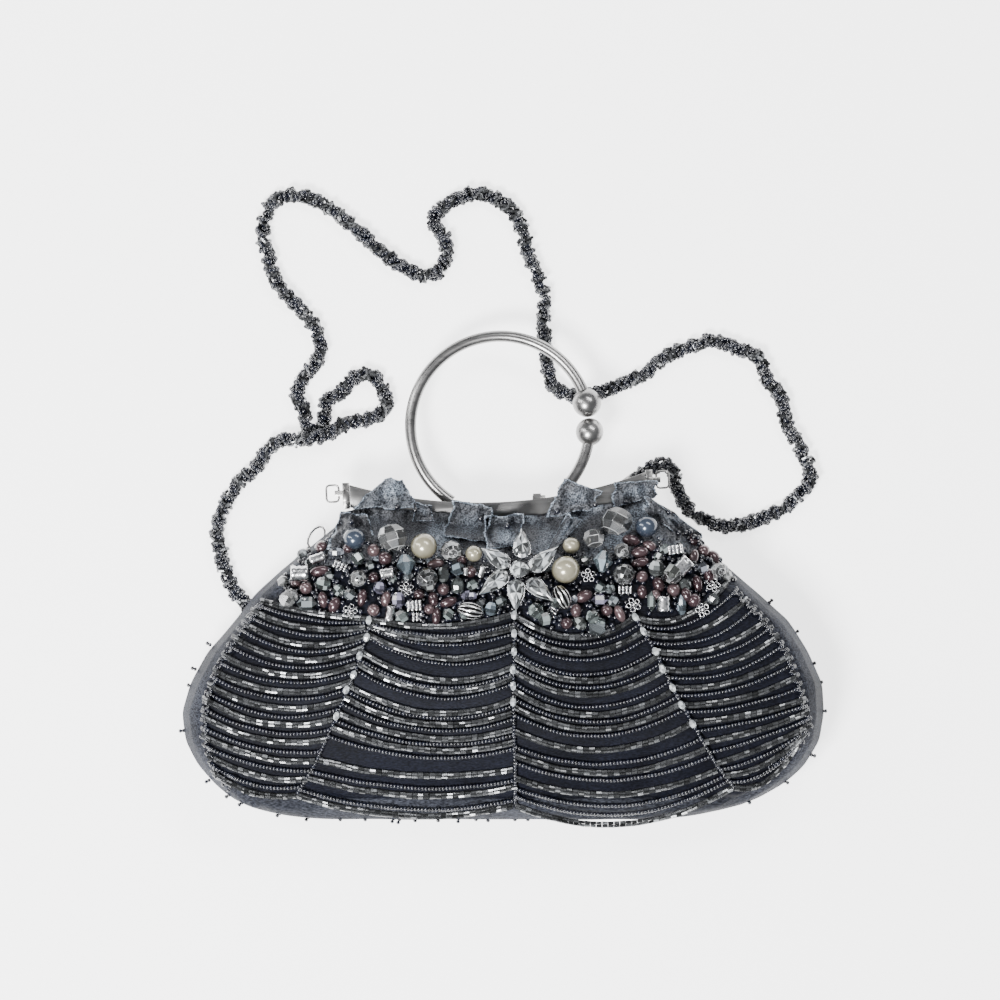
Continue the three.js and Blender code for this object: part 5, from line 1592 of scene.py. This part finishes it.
# %% Strap rope
STRAP_ROUTE = (
    (-0.0862, 0.0404, 0), (-0.091, 0.0332, 0), (-0.097, 0.027, 0), (-0.1036, 0.0218, 0),
    (-0.1118, 0.0266, 0), (-0.117, 0.0366, 0), (-0.1194, 0.046, 0), (-0.121, 0.0545, 0),
    (-0.1175, 0.0645, 0), (-0.113, 0.073, 0), (-0.105, 0.0805, 0), (-0.1005, 0.0865, 0),
    (-0.095, 0.092, 0.001), (-0.0875, 0.0928, 0.0045), (-0.08, 0.093, 0.0072), (-0.073, 0.0954, 0.0062),
    (-0.0665, 0.0995, 0.002), (-0.0575, 0.1012, 0), (-0.05, 0.105, 0), (-0.0498, 0.111, 0),
    (-0.053, 0.118, 0), (-0.0585, 0.1205, 0), (-0.0645, 0.1175, 0), (-0.069, 0.1115, 0), (-0.0742, 0.11, 0),
    (-0.0752, 0.1045, 0), (-0.0762, 0.0985, 0), (-0.0798, 0.0952, 0), (-0.083, 0.099, 0),
    (-0.0842, 0.1055, 0), (-0.087, 0.111, 0), (-0.0845, 0.1185, 0), (-0.0785, 0.126, 0),
    (-0.077, 0.1335, 0), (-0.0805, 0.142, 0), (-0.088, 0.15, 0), (-0.0955, 0.159, 0), (-0.0985, 0.168, 0),
    (-0.101, 0.1775, 0), (-0.1005, 0.1875, 0), (-0.0955, 0.194, 0), (-0.086, 0.196, 0), (-0.075, 0.1914, 0),
    (-0.062, 0.1815, 0), (-0.0495, 0.1705, 0), (-0.0385, 0.1635, 0), (-0.0295, 0.162, 0),
    (-0.0246, 0.168, 0), (-0.0244, 0.177, 0), (-0.0295, 0.1855, 0), (-0.0225, 0.1925, 0),
    (-0.012, 0.1966, 0), (-0.002, 0.194, 0), (0.006, 0.1866, 0), (0.0094, 0.176, 0), (0.013, 0.165, 0),
    (0.017, 0.155, 0), (0.0172, 0.142, 0), (0.018, 0.1295, 0), (0.0206, 0.1165, 0), (0.0285, 0.1115, 0),
    (0.0405, 0.1126, 0), (0.052, 0.117, 0), (0.0615, 0.1215, 0), (0.069, 0.128, 0), (0.079, 0.132, 0),
    (0.0885, 0.1346, 0), (0.099, 0.131, 0), (0.1075, 0.1275, 0), (0.1115, 0.1185, 0), (0.1174, 0.1105, 0),
    (0.12, 0.0995, 0), (0.126, 0.088, 0), (0.13, 0.078, 0), (0.1255, 0.0696, 0), (0.116, 0.0624, 0),
    (0.105, 0.058, 0), (0.0945, 0.056, 0), (0.0855, 0.0584, 0), (0.0775, 0.0645, 0), (0.0736, 0.072, 0),
    (0.0716, 0.0795, 0), (0.0665, 0.0826, 0), (0.0605, 0.079, 0), (0.0545, 0.0756, 0),
)
STRAP_REST = 3.1 * MM  # the rope's centre above the surface
ROPE_STEP = 0.8 * MM
ROPE_STRANDS = (
    {"kind": "seed", "radius": 2.1, "turns": 52, "start": 0.0, "scale": 1.05},
    {"kind": "seed", "radius": 2.0, "turns": 47, "start": 1.3, "scale": 1.0},
    {"kind": "seed", "radius": 2.2, "turns": 56, "start": 2.6, "scale": 1.0},
    {"kind": "bugle", "radius": 2.2, "turns": 43, "start": 3.9, "scale": 1.15},
    {"kind": "bugle", "radius": 2.0, "turns": 60, "start": 5.2, "scale": 1.15},
    {"kind": "seed", "radius": 0.6, "turns": 30, "start": 0.7, "scale": 1.6},
)
CLUMP_EVERY = 5.6 * MM
CLUMP_RADIUS = 2.75 * MM
CLUMP_BEADS = 11
CLUMP_RINGS = 2
CLUMP_SHIFT = 0.7 * MM
CLUMP_SCALE = 0.95
SEED_CHANCE = 0.6  # how often a ring is of seeds
CLUMP_TILT = 0.55  # radians, how far a clump's ring leans either way


def smooth_route(points, step):
    """Even points on a Catmull-Rom curve through the route."""
    padded = [points[0] * 2 - points[1]] + points + [points[-1] * 2 - points[-2]]
    fine = []
    for a, b, c, d in zip(padded, padded[1:], padded[2:], padded[3:]):
        for k in range(8):
            t = k / 8
            fine.append(0.5 * (2 * b + (c - a) * t + (2 * a - 5 * b + 4 * c - d) * t ** 2
                               + (3 * b - 3 * c + d - a) * t ** 3))
    fine.append(points[-1])
    return [at for at, _ in walk(fine, step)]


def strand_round(route, strand):
    """One strand's line, winding round the route with an uneven radius."""
    made = []
    count = len(route)
    for i, at in enumerate(route):
        ahead, behind = route[min(i + 1, count - 1)], route[max(i - 1, 0)]
        along = (ahead - behind).normalized()
        side = Vector((along.y, -along.x, 0)).normalized()
        up = side.cross(along)
        wander = noise.noise(Vector((i * 0.045, strand["start"] * 5, 0)))
        angle = strand["start"] + strand["turns"] * math.tau * i / count + 1.6 * wander
        lump = 1 + 0.3 * noise.noise(Vector((i * 0.11, strand["start"] * 9, 4)))
        reach = strand["radius"] * MM * lump
        made.append(at + side * (math.cos(angle) * reach) + up * (math.sin(angle) * reach))
    return made


def rope_bugles(line, scale):
    places = bugle_places(line, scale)
    for place in places:
        tilt = Euler((0, random.gauss(0, 0.35), random.gauss(0, 0.35)))
        place.turn = (place.turn.to_quaternion() @ tilt.to_quaternion()).to_euler()
    return places


def clump_ring(at, along):
    """A closed line round the rope, leaning at random, that doesn't go below the surface."""
    lean = Euler([random.uniform(-CLUMP_TILT, CLUMP_TILT) for _ in range(3)]).to_matrix()
    way = lean @ along
    side = way.cross(Vector((0, 0, 1))).normalized()
    up = side.cross(way)
    line = []
    for k in range(CLUMP_BEADS + 1):
        angle = k * math.tau / CLUMP_BEADS
        reach = CLUMP_RADIUS * random.uniform(0.9, 1.15)
        spot = at + side * (math.cos(angle) * reach) + up * (math.sin(angle) * reach)
        spot.z = max(spot.z, SEED_ACROSS * 0.5)
        line.append(spot)
    return line


def make_clumps(route):
    """Rings of beads round the rope, where its strands bunch up."""
    seeds, bugles = [], []
    for at, along in walk(route, CLUMP_EVERY):
        for _ in range(CLUMP_RINGS):
            line = clump_ring(at + along * random.gauss(0, CLUMP_SHIFT), along)
            if random.random() < SEED_CHANCE:
                seeds += seed_places(line, CLUMP_SCALE)
            else:
                bugles += rope_bugles(line, CLUMP_SCALE)
    joined("strap_clumps", [bead_mesh("clumps", SEED, seeds)], SEED_GLASS)
    joined("strap_clump_bugles", [bead_mesh("clumps", BUGLE, bugles)], BUGLE_GLASS)


def make_rope():
    points = [Vector((x, y, STRAP_REST + hump)) for x, y, hump in STRAP_ROUTE]
    route = smooth_route(points, ROPE_STEP)
    make_clumps(route)
    seeds, bugles = [], []
    for strand in ROPE_STRANDS:
        line = strand_round(route, strand)
        if strand["kind"] == "seed":
            seeds += seed_places(line, strand["scale"])
        else:
            bugles += rope_bugles(line, strand["scale"])
    rope = joined("strap_seeds", [bead_mesh("rope", SEED, seeds)], SEED_GLASS)
    joined("strap_bugles", [bead_mesh("rope", BUGLE, bugles)], BUGLE_GLASS)
    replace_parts(rope, "strap")
    print("strap length in metres:", round(len(route) * ROPE_STEP, 3))


make_rope()

# %% [markdown]
# Crushed ribbon with metal threads is gathered along the frame and folded into loose petals. Each petal is a
# grid of cloth between four corners, laid on the imported petal, pleated and crumpled. Its threads give it a grey
# lustre. Where its value for sheen and flecks is high it is painted paler and silvery: a painted sheen on the
# petals, and random paler flecks on the gathered strip.

# %% Crushed ribbon
def crushed_ribbon():
    made = new_material("crushed_ribbon", (0.2, 0.21, 0.24), 0.42, 0.45)
    crush = noise_at(made, 1500, 5)
    threads = noise_at(made, 2600, 3, (1, 0.35, 1))
    dark = ramp(made, crush, (0.4, (0.006, 0.0065, 0.008)), (0.62, (0.075, 0.076, 0.084)))
    bright = ramp(made, crush, (0.4, (0.035, 0.042, 0.056)), (0.6, (0.42, 0.5, 0.6)))
    # Painted sheen: where the value is high the ribbon is painted paler and silvery.
    mix = node(made, "ShaderNodeMix", data_type="RGBA")
    link(made, attribute(made, "lustre"), mix.inputs["Factor"])
    link(made, dark, mix.inputs["A"])
    link(made, bright, mix.inputs["B"])
    colour_by(made, mix.outputs["Result"])
    both = node(made, "ShaderNodeMath", operation="MULTIPLY")
    link(made, crush, both.inputs[0])
    link(made, threads, both.inputs[1])
    bump_by(made, both.outputs[0], 0.9, 0.0006)
    return made


RIBBON = crushed_ribbon()
CLOTH = 0.35 * MM

# %% [markdown]
# The corners of each petal run bottom left, top left, top right, bottom right in the photo. pleats says how
# often it is folded across, the next pair how strong its painted sheen is and how far up it lies, and roll how
# far its top edge curls up.

# %% Petals
PETALS = (
    {"name": "left_shoulder", "corners": ((327, 549), (342, 511), (367, 515), (379, 546)),
     "pleats": 1.5, "lustre": (0.1, 0.25), "roll": 0.5},
    {"name": "left_peak", "corners": ((355, 508), (386, 478), (403, 480), (421, 509)),
     "pleats": 0.8, "lustre": (0.95, 0.62), "roll": 0.2},
    {"name": "left_small", "corners": ((414, 521), (412, 503), (431, 505), (434, 521)),
     "pleats": 0.5, "lustre": (0.25, 0.5), "roll": 0.8},
    {"name": "left_broad", "corners": ((443, 536), (454, 500), (493, 506), (484, 541)),
     "pleats": 1.2, "lustre": (0.35, 0.3), "roll": 0.4},
    {"name": "middle", "corners": ((487, 548), (485, 515), (522, 515), (520, 547)),
     "pleats": 0.7, "lustre": (0.75, 0.2), "roll": 0.3},
    {"name": "right_star", "corners": ((545, 518), (562, 479), (600, 491), (592, 510)),
     "pleats": 0.6, "lustre": (0.35, 0.5), "roll": 0.1},
    {"name": "right_cone", "corners": ((545, 551), (568, 512), (582, 519), (551, 555)),
     "pleats": 0.5, "lustre": (0.5, 0.5), "roll": 1.2},
    {"name": "right_square", "corners": ((612, 507), (614, 482), (655, 481), (656, 497)),
     "pleats": 0.8, "lustre": (0.45, 0.4), "roll": 0.3},
    {"name": "right_shoulder", "corners": ((640, 509), (646, 495), (703, 535), (690, 543)),
     "pleats": 4.0, "lustre": (0.3, 0.5), "roll": 0.3},
)
PETAL_STEPS = 46
PETAL_LIFT = 0.5 * MM
PLEAT = 0.7 * MM
CRUMPLE = 1.1 * MM
RAGGED = 0.1  # how far an edge strays, a share of the petal
FRAYED = 0.03  # the same in finer waves
CURL = 1.6 * MM
RIM_SHARE = 0.025  # the rim's width, a share of the petal
# A petal's rim gets a painted highlight, a bright line of this value.
PAINTED_RIM_SHEEN = 0.65
CREASES = (
    {"fineness": 170, "share": 1.1},
    {"fineness": 390, "share": 0.6},
    {"fineness": 900, "share": 0.25},
)


def cloth_floor(x, y):
    """The highest thing that a ribbon may lie on over a point."""
    return max(height_at(x, y, CARRIER_TREE), height_at(x, y, SKIN_TREE))


def petal_height(tree, x, y, level):
    """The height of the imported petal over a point, or of its nearest edge beside it."""
    hit = tree.ray_cast(Vector((x, y, ABOVE)), DOWN)
    return hit[0].z if hit[0] else tree.find_nearest(Vector((x, y, level)))[0].z


def creases(x, y, seed):
    """Sharp creases between small pillows, as in crushed cloth; from about -1 to 0."""
    at = Vector((x, y, seed * 0.01))
    return -sum(abs(noise.noise(at * crease["fineness"])) * crease["share"] for crease in CREASES)


def stray_at(u, v, seed, layer):
    """How far a point of a petal strays, a share of its size; layer keeps two noises apart."""
    broad = noise.noise(Vector((u * 3.5, v * 3.5, seed + layer)))
    fine = noise.noise(Vector((u * 13, v * 13, layer)))
    return RAGGED * broad + FRAYED * fine


def between(corners, u, v):
    left = [a + (b - a) * v for a, b in zip(corners[0], corners[1])]
    right = [a + (b - a) * v for a, b in zip(corners[3], corners[2])]
    return [a + (b - a) * u for a, b in zip(left, right)]


def lay_cloth(bm, row, tree, level, seed):
    """Moves a flat grid of size 2 on to a packed petal; returns each corner's u and v."""
    spots = []
    for vertex in bm.verts:
        u, v = vertex.co.x / 2 + 0.5, vertex.co.y / 2 + 0.5
        strayed = (u + stray_at(u, v, seed, 0), v + stray_at(u, v, seed, 40))
        x, y = at_pixel(*between(row["corners"], *strayed))
        fold = (1 - abs(math.sin((u + 0.25 * v) * row["pleats"] * math.tau))) * PLEAT
        curl = row["roll"] * CURL * (max(0, v - 0.6) / 0.4) ** 2
        crumple = creases(x, y, seed) * CRUMPLE
        vertex.co = Vector((x, y, petal_height(tree, x, y, level) + PETAL_LIFT + fold + curl + crumple))
        spots.append((u, v))
    return spots


def grid_of_cloth(across, down):
    bm = bmesh.new()
    bmesh.ops.create_grid(bm, x_segments=across, y_segments=down, size=1)
    return bm


def flat_size(corners):
    def apart(a, b):
        return math.hypot(corners[a][0] - corners[b][0], corners[a][1] - corners[b][1]) * PIXEL
    wide = (apart(0, 3) + apart(1, 2)) / 2
    tall = (apart(0, 1) + apart(3, 2)) / 2
    return wide, tall


def give_sheen_and_flecks(piece, values):
    shine = piece.data.attributes.new("lustre", "FLOAT", "POINT")
    shine.data.foreach_set("value", values)


def surface_area(bm):
    return sum(face.calc_area() for face in bm.faces)


def cloth_piece(name, bm, values):
    """Turns a grid of ribbon into a piece with a thickness; returns it and its area."""
    area = surface_area(bm)
    bm.normal_update()
    mesh = bpy.data.meshes.new(name)
    bm.to_mesh(mesh)
    bm.free()
    piece = link_piece(name, mesh, RIBBON)
    give_sheen_and_flecks(piece, values)
    thick = piece.modifiers.new("thickness", "SOLIDIFY")
    thick.thickness = CLOTH
    thick.offset = 0
    return piece, area


def make_petal(index, row):
    bm = grid_of_cloth(PETAL_STEPS, PETAL_STEPS)
    name = "petal_" + row["name"]
    spots = lay_cloth(bm, row, tree_of(name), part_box(name)[1][2], index * 7.3)
    bmesh.ops.smooth_vert(bm, verts=bm.verts, factor=0.3, use_axis_z=True)
    # Painted sheen: a pale patch where the petal catches the light, and a painted highlight along its rim.
    level, place = row["lustre"]
    values = []
    for u, v in spots:
        patch = level * max(0.15, 1 - 2.2 * math.hypot(u - 0.55, v - place - 0.1))
        rim = min(u, v, 1 - u, 1 - v)
        values.append(max(patch, PAINTED_RIM_SHEEN) if rim < RIM_SHARE else patch)
    piece, area = cloth_piece(name + "_cloth", bm, values)
    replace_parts(piece, name)
    wide, tall = flat_size(row["corners"])


for index, row in enumerate(PETALS):
    make_petal(index, row)
print("petals done:", len(PETALS))

# %% [markdown]
# Below the petals one long strip of the same ribbon is gathered over the bag's neck. It is a grid between an
# upper and a lower edge, drawn up in many small pleats.

# %% Gathered strip
STRIP_UPPER = (
    (322, 552), (344, 512), (366, 507), (420, 511), (480, 516), (545, 515), (600, 505), (648, 498), (674, 512),
    (704, 542),
)
STRIP_LOWER = (
    (316, 566), (338, 566), (365, 560), (420, 562), (480, 572), (545, 572), (600, 562), (648, 550), (678, 552),
    (708, 560),
)
STRIP_ACROSS = 190
STRIP_DOWN = 16
STRIP_PLEATS = 38
STRIP_PLEAT = 0.55 * MM
STRIP_CRUMPLE = 1.3 * MM
STRIP_LIFT = 2.0 * MM
STRIP_LEAST = 24 * MM  # the strip's ends are sewn on here and don't fall past the bag's edge


def along_line(points, share):
    place = min(max(share, 0), 1) * (len(points) - 1)
    i = min(int(place), len(points) - 2)
    return [a + (b - a) * (place - i) for a, b in zip(points[i], points[i + 1])]


def make_strip():
    bm = grid_of_cloth(STRIP_ACROSS, STRIP_DOWN)
    values = []
    for vertex in bm.verts:
        u, v = vertex.co.x / 2 + 0.5, vertex.co.y / 2 + 0.5
        low, high = along_line(STRIP_LOWER, u), along_line(STRIP_UPPER, u)
        px, py = [a + (b - a) * v for a, b in zip(low, high)]
        x, y = at_pixel(px, py)
        shift = 1.5 * noise.noise(Vector((u * 20, v * 2, 0)))
        pleat = math.sin(u * STRIP_PLEATS * math.tau + shift) * STRIP_PLEAT
        crumple = creases(x, y, 3) * STRIP_CRUMPLE
        vertex.co = Vector((x, y, max(cloth_floor(x, y), STRIP_LEAST) + STRIP_LIFT + pleat + crumple))
        # Random paler flecks of the metal threads, in the value that carries the petals' painted sheen.
        values.append(0.04 + 0.7 * max(0, noise.noise(Vector((x, y, 9)) * 90)))
    piece, area = cloth_piece("ribbon_strip", bm, values)
    print("gathered strip area in square metres:", round(area, 5))


make_strip()

# %% [markdown]
# A black bead holds each petal down. It is the seed bead, larger, set on the highest ribbon under it.

# %% Black beads on the petals
PETAL_BEADS = (
    (397.5, 507), (415.3, 510), (480.5, 518.4), (507.5, 526), (557, 511.3), (594.8, 504.4), (626, 502),
    (352, 522), (668, 512),
)
PETAL_BEAD_ACROSS = 2.6 * MM


def top_of_ribbon(x, y):
    hits = []
    for piece in bpy.data.objects:
        if piece.name.endswith("_cloth") or piece.name == "ribbon_strip":
            hit = piece.ray_cast(Vector((x, y, ABOVE)), DOWN)
            if hit[0]:
                hits.append(hit[1].z)
    return max(hits, default=cloth_floor(x, y))


def make_petal_beads():
    bpy.context.view_layer.update()
    scale = PETAL_BEAD_ACROSS / SEED_ACROSS
    places = []
    for px, py in PETAL_BEADS:
        x, y = at_pixel(px, py)
        at = Vector((x, y, top_of_ribbon(x, y) + PETAL_BEAD_ACROSS * 0.35))
        turn = Euler((0, 1.2, random.uniform(0, 3))).to_quaternion()
        places.append(Place(at, size=(scale, scale, scale), turn=turn))
    joined("petal_beads", [bead_mesh("holding", SEED, places)], SEED_GLASS)


make_petal_beads()

# %% [markdown]
# The floor is a plain pale sheet, lit from within so that it stays even. It isn't part of the object.

# %% Floor
FLOOR_HALF = 3  # metres
FLOOR_COLOUR = (0.92, 0.92, 0.92)
FLOOR_GLOW = 2.4


def make_floor():
    bm = bmesh.new()
    bmesh.ops.create_grid(bm, x_segments=1, y_segments=1, size=FLOOR_HALF)
    mesh = bpy.data.meshes.new("floor")
    bm.to_mesh(mesh)
    bm.free()
    floor = bpy.data.objects.new("floor", mesh)
    bpy.context.collection.objects.link(floor)
    pale = new_material("floor_paper", FLOOR_COLOUR, 0.9, Emission_Strength=FLOOR_GLOW)
    shader_of(pale).inputs["Emission Color"].default_value = (1, 1, 1, 1)
    mesh.materials.append(pale)


make_floor()
print("floor done")

# %% [markdown]
# The two patterns were only copied from, so they are removed.

# %% The last lines
for bead in (SEED, BUGLE):
    bpy.data.objects.remove(bead)
